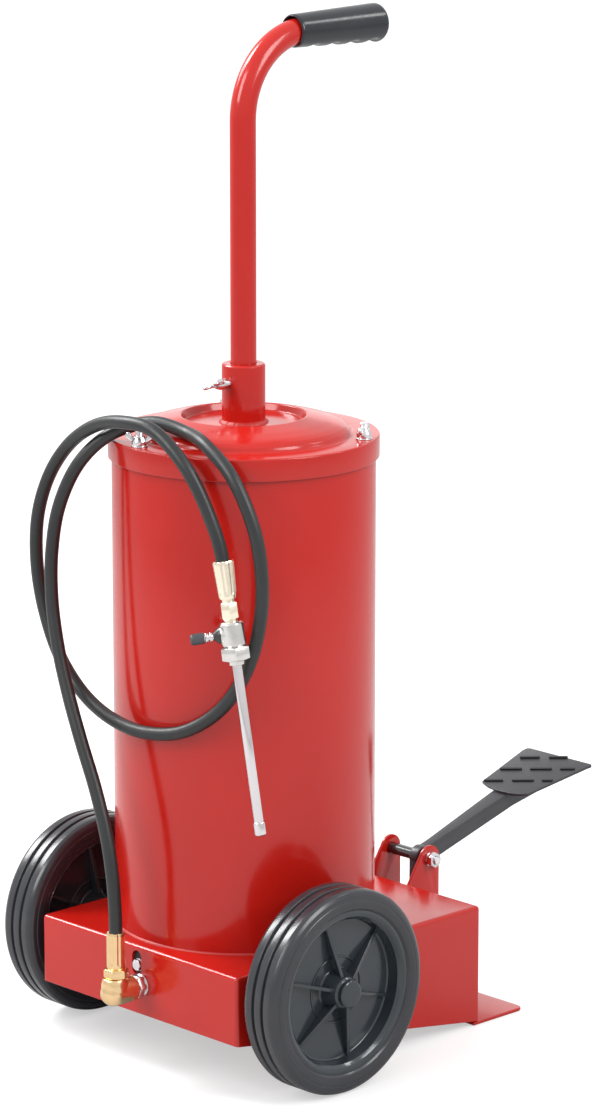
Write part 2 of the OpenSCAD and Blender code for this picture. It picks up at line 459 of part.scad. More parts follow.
module pedal_bracket() color([0.8, 0.05, 0.05]) shift() difference() {
  union() {
    for (x = [-29, 26]) side(x, 3) union() {
      polygon([[body_rear, 50], [220, 50], [pin_y + 13.5, 75], [pin_y + 13.5, pin_z], [pin_y - 12, pin_z + 6], [199, 117], [body_rear, 97]]);
      translate([pin_y, pin_z]) circle(13.5);
    }
    side(-27, 54) translate([body_rear, 50]) square([3, 62]);
  }
  along_x(-40, pin_y, pin_z) cylinder(h = 80, d = pin_d + 0.1);
  along_y(pump_x, body_rear - 5, pump_z) cylinder(h = 15, r = 20);
}
module pivot_bolt() color([0.75, 0.75, 0.78]) shift() {
  along_x(-29, pin_y, pin_z) cylinder(h = 69, d = pin_d);
  along_x(-34.5, pin_y, pin_z) cylinder(h = 5.5, d = 13/cos(30), $fn = 6);
}
module pivot_nut() color([0.8, 0.8, 0.82]) shift() along_x(29, pin_y, pin_z) { tube(1.4, 7.4, pin_d/2); translate([0, 0, 1.4]) hex(7.6, 14, pin_d/2); translate([0, 0, 9]) tube(1.6, 5.6, pin_d/2); }

function plate_u(y) = plate_z - plate_t/cos(plate_tilt) + (y - plate_y)*tan(plate_tilt);
arm_end = 420;
module pedal_arm() color([0.2, 0.2, 0.21]) shift() difference() {
  union() {
    intersection() {
     translate([0, 0, 60]) linear_extrude(200) polygon([[10, 190], [arm_w + 1, 190], [arm_w + 1, 430], [1, 430], [1, 352], [10, 245]]);
     side(0, arm_w + 2) union() {
      polygon([[pin_y, pin_z + 9], [plate_y - 8, plate_u(plate_y - 8)], [arm_end, plate_u(arm_end)], [arm_end, plate_u(arm_end) - arm_t + 6],
        [arm_end - 10, plate_u(arm_end - 10) - arm_t], [plate_y + 4, plate_u(plate_y + 4) - arm_t], [pin_y + 4, pin_z - 8.5], [pin_y + 6, pin_z - 12],
        [pin_y + 4.7, 84], [pin_y - 11, 84], [pin_y - 10.5, pin_z - 4], [pin_y - 9, pin_z + 2]]);
      translate([pin_y, pin_z]) circle(11);
      translate([pin_y - 3, 84]) circle(8);
     }
    }
    along_x(-26 + gap, pin_y, pin_z) cylinder(h = 52 - 2*gap, r = 6);
  }
  along_x(-40, pin_y, pin_z) cylinder(h = 80, d = pin_d + 0.1);
}
module plate_outline() polygon([[-32, 1], [-20, -4], [-2, -7.5], [15, -7], [27, -4], [33, 1], [43.5, 80], [45, 86], [43, plate_l], [-43, plate_l], [-46.5, 86], [-47.5, 81]]);
// raised bars of the tread, centre and length in the plane of the plate
treads = [[-26, 68.3, 21.8], [1.5, 82.6, 20.6], [-24.2, 37.1, 23.9], [4.6, 52.2, 23.8], [30, 65.5, 16], [-20.9, 6.9, 20.6], [7.2, 21.8, 23.7], [30.5, 34, 12]];
module bar(w) { translate([-w/2 + 1.6, -1.6]) square([w - 3.2, 3.2]); for (s = [-1, 1]) translate([s*(w/2 - 1.6), 0]) circle(1.6, $fn = 24); }
module pedal_plate() color([0.2, 0.2, 0.21]) shift() translate([11.4, plate_y, plate_z]) rotate([plate_tilt, 0, 0]) {
  translate([0, 0, -plate_t]) linear_extrude(plate_t) plate_outline();
  intersection() {
    translate([0, 0, -0.2]) linear_extrude(2.2) plate_outline();
    for (q = treads) translate([q[0], q[1], -0.2]) rotate([0, 0, 27.6]) linear_extrude(2.2) bar(q[2]);
  }
}

chassis();
toe_plate();
axle();
axle_collars();
tyre_left();
tyre_right();
rim_left();
rim_right();
bush_left();
bush_right();
hub_caps();
drum_shell();
drum_floor();
base_weld();
lid_lugs();
lid_studs();
lid();
lid_gasket();
lid_pads();
wing_nut_front();
wing_nut_right();
wing_nut_left();
handle_socket();
socket_weld();
clamp_boss();
clamp_bolt();
handle_tube();
grip();
follower_plate();
follower_seal();
pump_neck();
neck_screws();
pump_barrel();
packing();
gland_nut();
plunger();
plunger_head();
return_spring();
check_ball();
check_spring();
outlet_pipe();
pipe_clamp();
slot_bolt();
elbow_washer();
elbow();
elbow_nut();
lower_ferrule();
hose();
upper_ferrule();
adaptor();
valve_body();
valve_nut();
valve_knob();
nozzle_tube();
end_coupler();
pedal_bracket();
pivot_bolt();
pivot_nut();
pedal_arm();
pedal_plate();
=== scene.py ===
import math

import bmesh
import bpy
import numpy as np
from mathutils import Matrix, Vector


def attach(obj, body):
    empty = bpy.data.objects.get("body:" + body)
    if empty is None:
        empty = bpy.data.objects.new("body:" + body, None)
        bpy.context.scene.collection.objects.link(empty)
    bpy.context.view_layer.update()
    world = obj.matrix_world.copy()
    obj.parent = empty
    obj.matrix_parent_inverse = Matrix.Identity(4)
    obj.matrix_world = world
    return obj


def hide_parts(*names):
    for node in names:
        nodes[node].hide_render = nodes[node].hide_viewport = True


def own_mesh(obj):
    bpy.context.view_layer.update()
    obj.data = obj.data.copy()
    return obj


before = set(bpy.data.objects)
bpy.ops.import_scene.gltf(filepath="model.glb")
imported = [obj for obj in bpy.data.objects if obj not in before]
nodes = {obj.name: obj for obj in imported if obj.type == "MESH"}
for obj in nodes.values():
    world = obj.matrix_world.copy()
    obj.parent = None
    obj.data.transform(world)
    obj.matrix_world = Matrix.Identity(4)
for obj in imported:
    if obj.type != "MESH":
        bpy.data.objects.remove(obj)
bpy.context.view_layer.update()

# ---------------------------------------------------------------- frame
# the part is drawn round the drum's axis and moved along Y, so that the origin is the middle of its box
TILT = math.radians(11.3)
Y0 = -((-177.4 - 13) + (355 + 87.7 * math.cos(TILT) + 3 * math.sin(TILT))) / 2


def P(x, y, z):
    """millimetres round the drum's axis to metres in the row frame"""
    return Vector((x / 1000, (y + Y0) / 1000, z / 1000))


# ---------------------------------------------------------------- camera
AZ, EL = math.radians(46.12), math.radians(13.03)
right = Vector((math.cos(AZ), math.sin(AZ), 0))
back = Vector((math.sin(AZ) * math.cos(EL), -math.cos(AZ) * math.cos(EL), math.sin(EL)))
cam_data = bpy.data.cameras.new("camera")
cam = bpy.data.objects.new("camera", cam_data)
bpy.context.scene.collection.objects.link(cam)
cam.location = P(*(right * 53.92 + Vector((0, 0, 483.66)) + back * 4333.18))
cam.rotation_mode = "QUATERNION"
cam.rotation_quaternion = (-back).to_track_quat("-Z", "Y")
cam_data.sensor_width = 36
cam_data.lens = 4493.67 / 1114 * 36
cam_data.clip_start, cam_data.clip_end = 0.1, 50
bpy.context.scene.camera = cam


# ---------------------------------------------------------------- materials
def material(name):
    m = bpy.data.materials.new(name)
    m.use_nodes = True
    t = m.node_tree
    for n in list(t.nodes):
        t.nodes.remove(n)
    out = t.nodes.new("ShaderNodeOutputMaterial")
    b = t.nodes.new("ShaderNodeBsdfPrincipled")
    t.links.new(b.outputs["BSDF"], out.inputs["Surface"])
    return m, t, b


def coords(t, scale=(1, 1, 1)):
    c = t.nodes.new("ShaderNodeTexCoord")
    mp = t.nodes.new("ShaderNodeMapping")
    mp.inputs["Scale"].default_value = scale
    t.links.new(c.outputs["Object"], mp.inputs["Vector"])
    return mp.outputs["Vector"]


def noise(t, vec, scale, detail=3.0, rough=0.5, distortion=0.0):
    n = t.nodes.new("ShaderNodeTexNoise")
    n.inputs["Scale"].default_value = scale
    n.inputs["Detail"].default_value = detail
    n.inputs["Roughness"].default_value = rough
    n.inputs["Distortion"].default_value = distortion
    t.links.new(vec, n.inputs["Vector"])
    return n.outputs["Fac"]


def ramp(t, fac, stops):
    r = t.nodes.new("ShaderNodeValToRGB")
    e = r.color_ramp.elements
    while len(e) < len(stops):
        e.new(0.5)
    for k, (p, c) in enumerate(stops):
        e[k].position = p
        e[k].color = c if len(c) == 4 else (*c, 1)
    t.links.new(fac, r.inputs["Fac"])
    return r.outputs["Color"]


def span(t, fac, a, b, lo=0.0, hi=1.0):
    n = t.nodes.new("ShaderNodeMapRange")
    n.inputs["From Min"].default_value = lo
    n.inputs["From Max"].default_value = hi
    n.inputs["To Min"].default_value = a
    n.inputs["To Max"].default_value = b
    t.links.new(fac, n.inputs["Value"])
    return n.outputs["Result"]


def bump(t, b, height, strength, distance, normal=None):
    n = t.nodes.new("ShaderNodeBump")
    n.inputs["Strength"].default_value = strength
    n.inputs["Distance"].default_value = distance
    t.links.new(height, n.inputs["Height"])
    if normal is not None:
        t.links.new(normal, n.inputs["Normal"])
    t.links.new(n.outputs["Normal"], b.inputs["Normal"])
    return n.outputs["Normal"]


def gloss(b, rough=0.4, metal=0.0, coat=0.0, coat_rough=0.05, spec=0.5, ior=1.5):
    b.inputs["Roughness"].default_value = rough
    b.inputs["Metallic"].default_value = metal
    b.inputs["Coat Weight"].default_value = coat
    b.inputs["Coat Roughness"].default_value = coat_rough
    b.inputs["Specular IOR Level"].default_value = spec
    b.inputs["IOR"].default_value = ior


def mul(c, k):
    return tuple(min(1.0, v * k) for v in c[:3])


def varied(name, base, scale=6, spread=0.06, fine=300, bump_strength=0.1, bump_distance=0.0004, rough=(0.3, 0.4), detail=4.0, **g):
    """a colour that varies softly, a roughness that varies, and a fine bump"""
    m, t, b = material(name)
    v = coords(t)
    n = noise(t, v, scale, detail, 0.55)
    t.links.new(ramp(t, n, [(0.3, mul(base, 1 - spread)), (0.7, mul(base, 1 + spread))]), b.inputs["Base Color"])
    gloss(b, **g)
    f = noise(t, v, fine, 3, 0.5)
    r = noise(t, v, scale * 7, 5, 0.6)
    t.links.new(span(t, r, rough[0], rough[1], 0.25, 0.75), b.inputs["Roughness"])
    bump(t, b, f, bump_strength, bump_distance)
    return m


def red_paint(name, base, scale=5.0):
    """gloss stove enamel: faint orange peel, slight depth changes, a trace of dust in the roughness"""
    m, t, b = material(name)
    v = coords(t)
    n = noise(t, v, scale, 4, 0.55)
    t.links.new(ramp(t, n, [(0.3, mul(base, 0.95)), (0.7, mul(base, 1.05))]), b.inputs["Base Color"])
    gloss(b, coat=0.0, spec=0.5)
    r = noise(t, v, 40, 6, 0.65)
    t.links.new(span(t, r, 0.12, 0.21, 0.3, 0.7), b.inputs["Roughness"])
    peel = noise(t, v, 420, 2, 0.5)
    big = noise(t, v, 14, 2, 0.5)
    n1 = bump(t, b, big, 0.10, 0.0012)
    bump(t, b, peel, 0.10, 0.0003, n1)
    return m


def metal(name, base, rough=(0.22, 0.34), scale=60, brushed=None, bump_strength=0.08, bump_distance=0.0002, spread=0.06, fine=500):
    m, t, b = material(name)
    v = coords(t, brushed or (1, 1, 1))
    n = noise(t, v, scale, 4, 0.6)
    t.links.new(ramp(t, n, [(0.3, mul(base, 1 - spread)), (0.7, mul(base, 1 + spread))]), b.inputs["Base Color"])
    gloss(b, metal=1.0)
    t.links.new(span(t, noise(t, v, scale * 2.3, 5, 0.65), rough[0], rough[1], 0.25, 0.75), b.inputs["Roughness"])
    bump(t, b, noise(t, v, fine, 3, 0.6), bump_strength, bump_distance)
    return m


RED = (0.418, 0.0098, 0.0058)
M = {}
M["red"] = red_paint("red_paint", RED)
M["red_weld"] = varied("red_weld", mul(RED, 0.92), 40, 0.08, 220, 0.5, 0.0008, (0.38, 0.5))
M["dark"] = varied("dark_paint", (0.028, 0.0285, 0.034), 30, 0.15, 260, 0.25, 0.0004, (0.36, 0.52), coat=0.15, coat_rough=0.2)
# the tread bars are coloured darker than the plate: painted shade standing in for the shadow on their front faces
M["tread"] = varied("tread_bars_painted_shade", (0.010, 0.010, 0.011), 60, 0.25, 320, 0.3, 0.0003, (0.5, 0.65))
M["sleeve"] = varied("polished_sleeve", (0.016, 0.0175, 0.019), 70, 0.2, 300, 0.08, 0.0002, (0.09, 0.17), spec=1.0)
M["tyre"] = varied("tyre", (0.029, 0.030, 0.0355), 12, 0.2, 300, 0.05, 0.0003, (0.18, 0.28))
M["rim"] = varied("rim_plastic", (0.0225, 0.0285, 0.0345), 12, 0.15, 350, 0.10, 0.0003, (0.14, 0.23), coat=0.3, coat_rough=0.06)
M["grip"] = varied("grip_plastic", (0.013, 0.0155, 0.020), 20, 0.2, 500, 0.15, 0.0003, (0.17, 0.27))
M["nylon"] = varied("nylon", (0.72, 0.70, 0.62), 30, 0.06, 300, 0.15, 0.0003, (0.45, 0.6))
M["rubber"] = varied("rubber", (0.03, 0.03, 0.032), 30, 0.2, 240, 0.3, 0.0004, (0.6, 0.75))
M["hose"] = varied("hose_rubber", (0.0145, 0.0155, 0.0165), 25, 0.18, 380, 0.25, 0.0003, (0.34, 0.46))
M["zinc"] = metal("zinc_steel", (0.80, 0.80, 0.82), (0.2, 0.34), 90)
M["steel"] = metal("spring_steel", (0.35, 0.35, 0.37), (0.3, 0.42), 120)
M["bar"] = metal("bright_bar", (0.62, 0.62, 0.63), (0.28, 0.4), 60, (0.2, 6, 6))
M["chrome"] = metal("chrome", (0.74, 0.70, 0.71), (0.06, 0.13), 50, spread=0.03)
M["silver"] = metal("nickel_plate", (0.72, 0.70, 0.68), (0.14, 0.26), 110)
M["alu"] = metal("aluminium", (0.72, 0.73, 0.75), (0.3, 0.42), 80)
M["iron"] = varied("cast_iron", (0.12, 0.125, 0.13), 60, 0.2, 180, 0.8, 0.0010, (0.5, 0.68))
M["brass"] = metal("brass", (0.83, 0.59, 0.32), (0.16, 0.28), 90)
M["pale_brass"] = metal("pale_brass", (0.95, 0.85, 0.68), (0.16, 0.28), 90)
M["bright_zinc"] = metal("bright_zinc", (0.70, 0.68, 0.70), (0.12, 0.24), 120, spread=0.05)
M["knob"] = varied("knob_grip", (0.045, 0.048, 0.055), 60, 0.2, 400, 0.3, 0.0003, (0.4, 0.55))
# near-black clamp colour: partly a blackened finish, partly painted shade that darkens the slot in the front wall,
# where shade falls inside the box
M["blackened"] = varied("blackened_steel", (0.012, 0.012, 0.013), 60, 0.25, 300, 0.3, 0.0003, (0.45, 0.6))
M["black"] = varied("black_oxide", (0.02, 0.02, 0.022), 80, 0.2, 400, 0.2, 0.0002, (0.25, 0.38), coat=0.3)


# ---------------------------------------------------------------- mesh tools
def link(o):
    bpy.context.scene.collection.objects.link(o)
    return o


def piece(name, mesh, mat, body, replace=(), smooth=35):
    o = link(bpy.data.objects.new(name, mesh))
    for m in mat if isinstance(mat, (list, tuple)) else [mat]:
        mesh.materials.append(m)
    if smooth is not None:
        mesh.shade_smooth()
        mesh.set_sharp_from_angle(angle=math.radians(smooth))
    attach(o, body)
    if replace:
        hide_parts(*replace)
    return o


def from_bm(name, bm, mat, body, replace=(), smooth=35):
    bmesh.ops.remove_doubles(bm, verts=bm.verts, dist=1e-6)
    bmesh.ops.recalc_face_normals(bm, faces=bm.faces)
    me = bpy.data.meshes.new(name)
    bm.to_mesh(me)
    bm.free()
    return piece(name, me, mat, body, replace, smooth)


def arc(cx, cy, r, a0, a1, n):
    """n + 1 points of an arc, in degrees"""
    return [(cx + r * math.cos(math.radians(a0 + (a1 - a0) * k / n)), cy + r * math.sin(math.radians(a0 + (a1 - a0) * k / n))) for k in range(n + 1)]


def rounded(points, radii, n=4, closed=True):
    """a 2-D outline with its corners rounded; radii is one number or one for each point"""
    if not isinstance(radii, (list, tuple)):
        radii = [radii] * len(points)
    out, m = [], len(points)
    for i, (p, r) in enumerate(zip(points, radii)):
        if r <= 0 or (not closed and i in (0, m - 1)):
            out.append(tuple(p))
            continue
        p = Vector(p)
        a, b = Vector(points[i - 1]) - p, Vector(points[(i + 1) % m]) - p
        la, lb = a.length, b.length
        a, b = a / la, b / lb
        ang = math.acos(max(-1, min(1, a.dot(b))))
        if ang > math.pi - 0.02:
            out.append(tuple(p))
            continue
        d = min(r / math.tan(ang / 2), la * 0.49, lb * 0.49)
        rr = d * math.tan(ang / 2)
        c = p + (a + b).normalized() * (rr / math.sin(ang / 2))
        s, e = p + a * d - c, p + b * d - c
        a0, a1 = math.atan2(s.y, s.x), math.atan2(e.y, e.x)
        while a1 - a0 > math.pi:
            a1 -= 2 * math.pi
        while a1 - a0 < -math.pi:
            a1 += 2 * math.pi
        for k in range(n + 1):
            t = a0 + (a1 - a0) * k / n
            out.append((c.x + rr * math.cos(t), c.y + rr * math.sin(t)))
    return out


def frame_to(origin, axis, up=None):
    """matrix that takes local z to axis at origin (row frame, metres); local x lies as near as it can to up"""
    z = Vector(axis).normalized()
    x = Vector(up) if up is not None else (Vector((0, 0, 1)) if abs(z.z) < 0.9 else Vector((0, 1, 0)))
    x = (x - z * x.dot(z)).normalized()
    y = z.cross(x)
    m = Matrix((x, y, z)).transposed().to_4x4()
    m.translation = origin
    return m


def add_ring_faces(bm, rings, closed_u, closed_v):
    nu = len(rings)
    for i in range(nu if closed_u else nu - 1):
        a, b = rings[i], rings[(i + 1) % nu]
        la, lb = len(a), len(b)
        if la == 1 and lb == 1:
            continue
        n = max(la, lb)
        for k in range(n if closed_v else n - 1):
            k2 = (k + 1) % n
            if la == 1:
                f = [a[0], b[k2], b[k]]
            elif lb == 1:
                f = [a[k], a[k2], b[0]]
            else:
                f = [a[k], a[k2], b[k2], b[k]]
            if len(set(f)) >= 3:
                try:
                    bm.faces.new(f)
                except ValueError:
                    pass


def turned(bm, profile, mat=None, segs=64, closed=False, warp=None):
    """adds a turned shape: profile is [(r, z)] in mm; a point with r 0 is a pole. warp(r, z, angle) may change a point"""
    rings = []
    for r, z in profile:
        if r < 1e-6:
            p = Vector((0, 0, z / 1000))
            rings.append([bm.verts.new(mat @ p if mat else p)])
            continue
        ring = []
        for k in range(segs):
            a = 2 * math.pi * k / segs
            q = warp(r, z, a) if warp else (r * math.cos(a), r * math.sin(a), z)
            p = Vector(q) / 1000
            ring.append(bm.verts.new(mat @ p if mat else p))
        rings.append(ring)
    add_ring_faces(bm, rings, closed, True)


def loft(bm, mat, rows, segs=64, closed=True):
    """adds a turned shape whose rows are (r, z) or a function of the angle that gives them, in mm"""
    rings = []
    for row in rows:
        if not callable(row) and row[0] < 1e-6:
            rings.append([bm.verts.new(mat @ Vector((0, 0, row[1] / 1000)))])
            continue
        ring = []
        for k in range(segs):
            a = 2 * math.pi * k / segs
            r, z = row(a) if callable(row) else row
            ring.append(bm.verts.new(mat @ Vector((r * math.cos(a) / 1000, r * math.sin(a) / 1000, z / 1000))))
        rings.append(ring)
    add_ring_faces(bm, rings, closed, True)


def nut(bm, mat, z0, z1, af, bore=0.0, low=True, high=True, segs=72):
    """adds a hexagon nut, or a bolt's head if bore is 0, with the corners turned off at the ends that low and high name"""
    ri = af / 2 * 0.975

    def flat(a):
        return af / 2 / math.cos(math.radians(math.degrees(a) % 60 - 30))

    def row(z, s, end):
        if end:
            return [(ri - 0.25, z), lambda a: (ri + 0.05, z + s * 0.1), lambda a: (flat(a) - 0.12, z + s * (0.12 + (flat(a) - ri) * 0.5)), lambda a: (flat(a), z + s * (0.3 + (flat(a) - ri) * 0.55))]
        return [lambda a: (flat(a) - 0.3, z), lambda a: (flat(a), z + s * 0.3)]

    rows = row(z0, 1, low) + row(z1, -1, high)[::-1]
    if bore > 0:
        rows = [(bore, z0 + 0.6), (bore + 0.6, z0)] + rows + [(bore + 0.6, z1), (bore, z1 - 0.6)]
    else:
        rows = [(0, z0)] + rows + [(0, z1)]
    loft(bm, mat, rows, segs, bore > 0)


def thread(r, z0, z1, pitch, depth=0.32, per=6):
    """rows of a screw thread from z0 to z1"""
    n = max(2, round((z1 - z0) / pitch * per))

    def row(z, fade):
        return lambda a: (r - depth * fade * abs(2 * ((z / pitch - a / (2 * math.pi)) % 1) - 1), z)

    return [row(z0 + (z1 - z0) * k / n, min(1, k / per, (n - k) / per)) for k in range(n + 1)]


def turn_z(deg):
    return Matrix.Rotation(math.radians(deg), 4, "Z")


def wings(bm, mat, r, h0, h1, t, thick=None):
    """adds the two wings of a wing nut or wing bolt: rounded ears that grow out of the hub"""
    ear = 3.2
    cx, cy = r - ear, h1 - ear
    outline = [(2.5, h0 + 0.2), (6.2, h0), (cx - 0.4, cy - ear - 1.2)] + arc(cx, cy, ear, -55, 128, 14) + [(6.2, h1 - 6.2), (4.2, h1 - 5.4), (2.5, h1 - 5.2)]
    outline = rounded(outline, [0, 1.5, 2.5] + [0] * 15 + [1.5, 1, 0], 4)
    for a in (0, 180):
        prism(bm, outline, -t / 2, t / 2, mat @ turn_z(a) @ Matrix.Rotation(math.radians(90), 4, "X"), bevel=t * 0.36, n=3)


def blended(name, build, mat, body, replace, voxel=0.5, rounds=8, cut=None):
    """overlapping solids grown together as one casting, with soft inner corners"""
    bm = bmesh.new()
    build(bm)
    bmesh.ops.recalc_face_normals(bm, faces=bm.faces)
    me = bpy.data.meshes.new(name)
    bm.to_mesh(me)
    bm.free()
    o = link(bpy.data.objects.new(name, me))
    r = o.modifiers.new("remesh", "REMESH")
    r.mode = "VOXEL"
    r.voxel_size = voxel / 1000
    sm = o.modifiers.new("smooth", "SMOOTH")
    sm.factor = 0.5
    sm.iterations = rounds
    new = bpy.data.meshes.new_from_object(o.evaluated_get(bpy.context.evaluated_depsgraph_get()))
    bpy.data.objects.remove(o)
    new.materials.clear()
    return piece(name, new, mat, body, replace, 60)


def prism(bm, outline, z0, z1, mat=None, bevel=0.4, n=2, hole=None):
    """adds a prism on a 2-D outline (mm), with its two rims rounded by bevel. The outline is counter-clockwise"""
    m = len(outline)
    pts = [Vector(p) for p in outline]

    def inset(d):
        out = []
        for i in range(m):
            a, p, b = pts[i - 1], pts[i], pts[(i + 1) % m]
            e1, e2 = (p - a), (b - p)
            if e1.length < 1e-9 or e2.length < 1e-9:
                out.append(p.copy())
                continue
            n1, n2 = Vector((-e1.y, e1.x)).normalized(), Vector((-e2.y, e2.x)).normalized()
            h = (n1 + n2)
            if h.length < 1e-6:
                out.append(p + n1 * d)
                continue
            h.normalize()
            out.append(p + h * min(d / max(0.35, h.dot(n1)), 3 * d))
        return out

    rings = []
    steps = [(bevel * (1 - math.sin(math.pi / 2 * k / n)), bevel * (1 - math.cos(math.pi / 2 * k / n))) for k in range(n + 1)] if bevel > 0 else [(0, 0)]
    for d, h in steps:
        rings.append((inset(d), z0 + h))
    for d, h in reversed(steps):
        rings.append((inset(d), z1 - h))
    vs = []
    for ring, z in rings:
        vs.append([bm.verts.new((mat @ Vector((p.x / 1000, p.y / 1000, z / 1000))) if mat else Vector((p.x / 1000, p.y / 1000, z / 1000))) for p in ring])
    add_ring_faces(bm, vs, False, True)
    bm.faces.new(list(reversed(vs[0])))
    bm.faces.new(vs[-1])


def sweep(bm, pts, radius, sides=24, up=(1, 0, 0), caps=True, closed=False, shape=None):
    """adds a tube along points (row frame, metres); radius in mm, a number or f(i, angle)"""
    n = len(pts)
    pts = [Vector(p) for p in pts]
    u = Vector(up)
    rings = []
    for i, p in enumerate(pts):
        t = (pts[min(i + 1, n - 1)] - pts[max(i - 1, 0)]).normalized()
        u = (u - t * u.dot(t)).normalized()
        w = t.cross(u)
        ring = []
        for k in range(sides):
            a = 2 * math.pi * k / sides
            r = (radius(i, a) if callable(radius) else radius) / 1000
            ring.append(bm.verts.new(p + (u * math.cos(a) + w * math.sin(a)) * r))
        rings.append(ring)
    add_ring_faces(bm, rings, closed, True)
    if caps and not closed:
        bm.faces.new(list(reversed(rings[0])))
        bm.faces.new(rings[-1])
    return rings


def softened(node, mat, body, width=0.5, angle=30, segments=2, name=None, smooth=40):
    """a copy of a CAD node with its sharp edges rounded, in place of the node"""
    me = nodes[node].data.copy()
    bm = bmesh.new()
    bm.from_mesh(me)
    bmesh.ops.remove_doubles(bm, verts=bm.verts, dist=2e-6)
    bmesh.ops.dissolve_limit(bm, angle_limit=math.radians(0.6), verts=bm.verts, edges=bm.edges)
    bm.to_mesh(me)
    bm.free()
    me.materials.clear()
    o = piece(name or node + "_soft", me, mat, body, [node], smooth=None)
    b = o.modifiers.new("bevel", "BEVEL")
    b.width = width / 1000
    b.segments = segments
    b.limit_method = "ANGLE"
    b.angle_limit = math.radians(angle)
    b.use_clamp_overlap = True
    b.harden_normals = False
    dg = bpy.context.evaluated_depsgraph_get()
    new = bpy.data.meshes.new_from_object(o.evaluated_get(dg))
    o.modifiers.clear()
    o.data = new
    new.shade_smooth()
    new.set_sharp_from_angle(angle=math.radians(smooth))
    return o


def paint(node, mat, smooth=None):
    o = nodes[node]
    o.data.materials.clear()
    o.data.materials.append(mat)
    return o


# ---------------------------------------------------------------- hose
ROUTE = [
    (5, -174, 145), (2, -174, 192), (-8.7, -172.4, 236.7), (-27, -170, 280), (-49.5, -167.4, 321.2),
    (-71.2, -163.8, 361.9), (-90.1, -159.9, 405), (-103.2, -155.8, 449.9), (-107.4, -151.5, 496.2), (-100.9, -146.5, 542.2),
    (-82.9, -136.5, 584.3), (-56.4, -119.3, 613.5), (-18.9, -100.7, 626.9), (24.4, -96, 622.6), (64.5, -107.8, 617.2),
    (104.7, -112.4, 593.7), (128.2, -107.5, 548.2), (131.3, -100.5, 499.8), (124, -97, 452.8), (110.1, -100.5, 408.7),
    (87.2, -111.7, 369.5), (52.1, -126.2, 343.7), (8.1, -135.7, 335.5), (-36.8, -137.7, 339.9), (-78.9, -137.5, 357),
    (-113.9, -137.1, 388), (-137.4, -135.7, 428.9), (-149.2, -134.8, 474), (-148, -134, 521), (-131.3, -133, 563.9),
    (-100.7, -133.3, 599.3), (-60.8, -135.9, 622.9), (-17.4, -140.2, 633.1), (26.1, -138.8, 630.2), (64.5, -135.4, 602.3),
    (87.1, -128.3, 562.6), (102, -123, 517),
]
ND = Vector((37, 13, -260)).normalized()
N0 = Vector((102, -123, 517))
HOSE_D = 13


def catmull(points, first, last, per):
    q = [Vector(first)] + [Vector(p) for p in points] + [Vector(last)]
    out = []
    for i in range(1, len(q) - 2):
        a, b, c, d = q[i - 1 : i + 3]
        for k in range(per):
            t = k / per
            out.append((2 * b + (c - a) * t + (2 * a - 5 * b + 4 * c - d) * t * t + (3 * b - a - 3 * c + d) * t ** 3) / 2)
    out.append(q[-2])
    return out


def make_hose():
    first = Vector(ROUTE[1]) - Vector((0, 0, 94))
    last = Vector(ROUTE[-2]) + ND * 92
    q = [first] + [Vector(p) for p in ROUTE] + [last]
    cu = bpy.data.curves.new("hose_line", "CURVE")
    cu.dimensions = "3D"
    cu.bevel_depth = HOSE_D / 2000
    cu.bevel_resolution = 6
    cu.resolution_u = 12
    cu.use_fill_caps = True
    cu.twist_mode = "MINIMUM"
    s = cu.splines.new("BEZIER")
    s.bezier_points.add(len(ROUTE) - 1)
    for i, b in enumerate(s.bezier_points):
        p, tan = q[i + 1], (q[i + 2] - q[i]) / 6
        b.handle_left_type = b.handle_right_type = "FREE"
        b.co, b.handle_left, b.handle_right = P(*p), P(*(p - tan)), P(*(p + tan))
    cu.materials.append(M["hose"])
    o = link(bpy.data.objects.new("hose_line", cu))
    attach(o, "base")
    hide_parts("hose")
    line = catmull(ROUTE, first, last, 12)
    return o, sum((b - a).length for a, b in zip(line, line[1:])) / 1000


hose, hose_length = make_hose()

# ---------------------------------------------------------------- wheels
X_, Y_, Z_ = Vector((1, 0, 0)), Vector((0, 1, 0)), Vector((0, 0, 1))


def along_x(x, y, z):
    return frame_to(P(x, y, z), X_, -Z_)


def along_y(x, y, z):
    return frame_to(P(x, y, z), Y_, X_)


def along_z(x, y, z):
    return frame_to(P(x, y, z), Z_, X_)


def tyre(side):
    bm = bmesh.new()
    half = [(80, 19), (82, 21), (88, 21.5), (90.2, 21.5), (90.8, 21.0), (91.6, 21.3), (95, 20.8), (98.5, 18.6), (100, 15.2), (100, 8.1), (97, 7.3), (97, 4.7), (100, 3.9)]
    rad = [0.5, 2, 2, 0.2, 0.2, 0.2, 4, 3, 3, 0.7, 0.5, 0.5, 0.7]
    pts = half + [(r, -z) for r, z in reversed(half)]
    loft(bm, along_x(side * 173.5, -48, 100), rounded(pts, rad + rad[::-1], 4), 160)
    return from_bm("tyre_" + ("left" if side < 0 else "right") + "_ribbed", bm, M["tyre"], "wheel_" + ("left" if side < 0 else "right"), ["tyre_" + ("left" if side < 0 else "right")], 40)


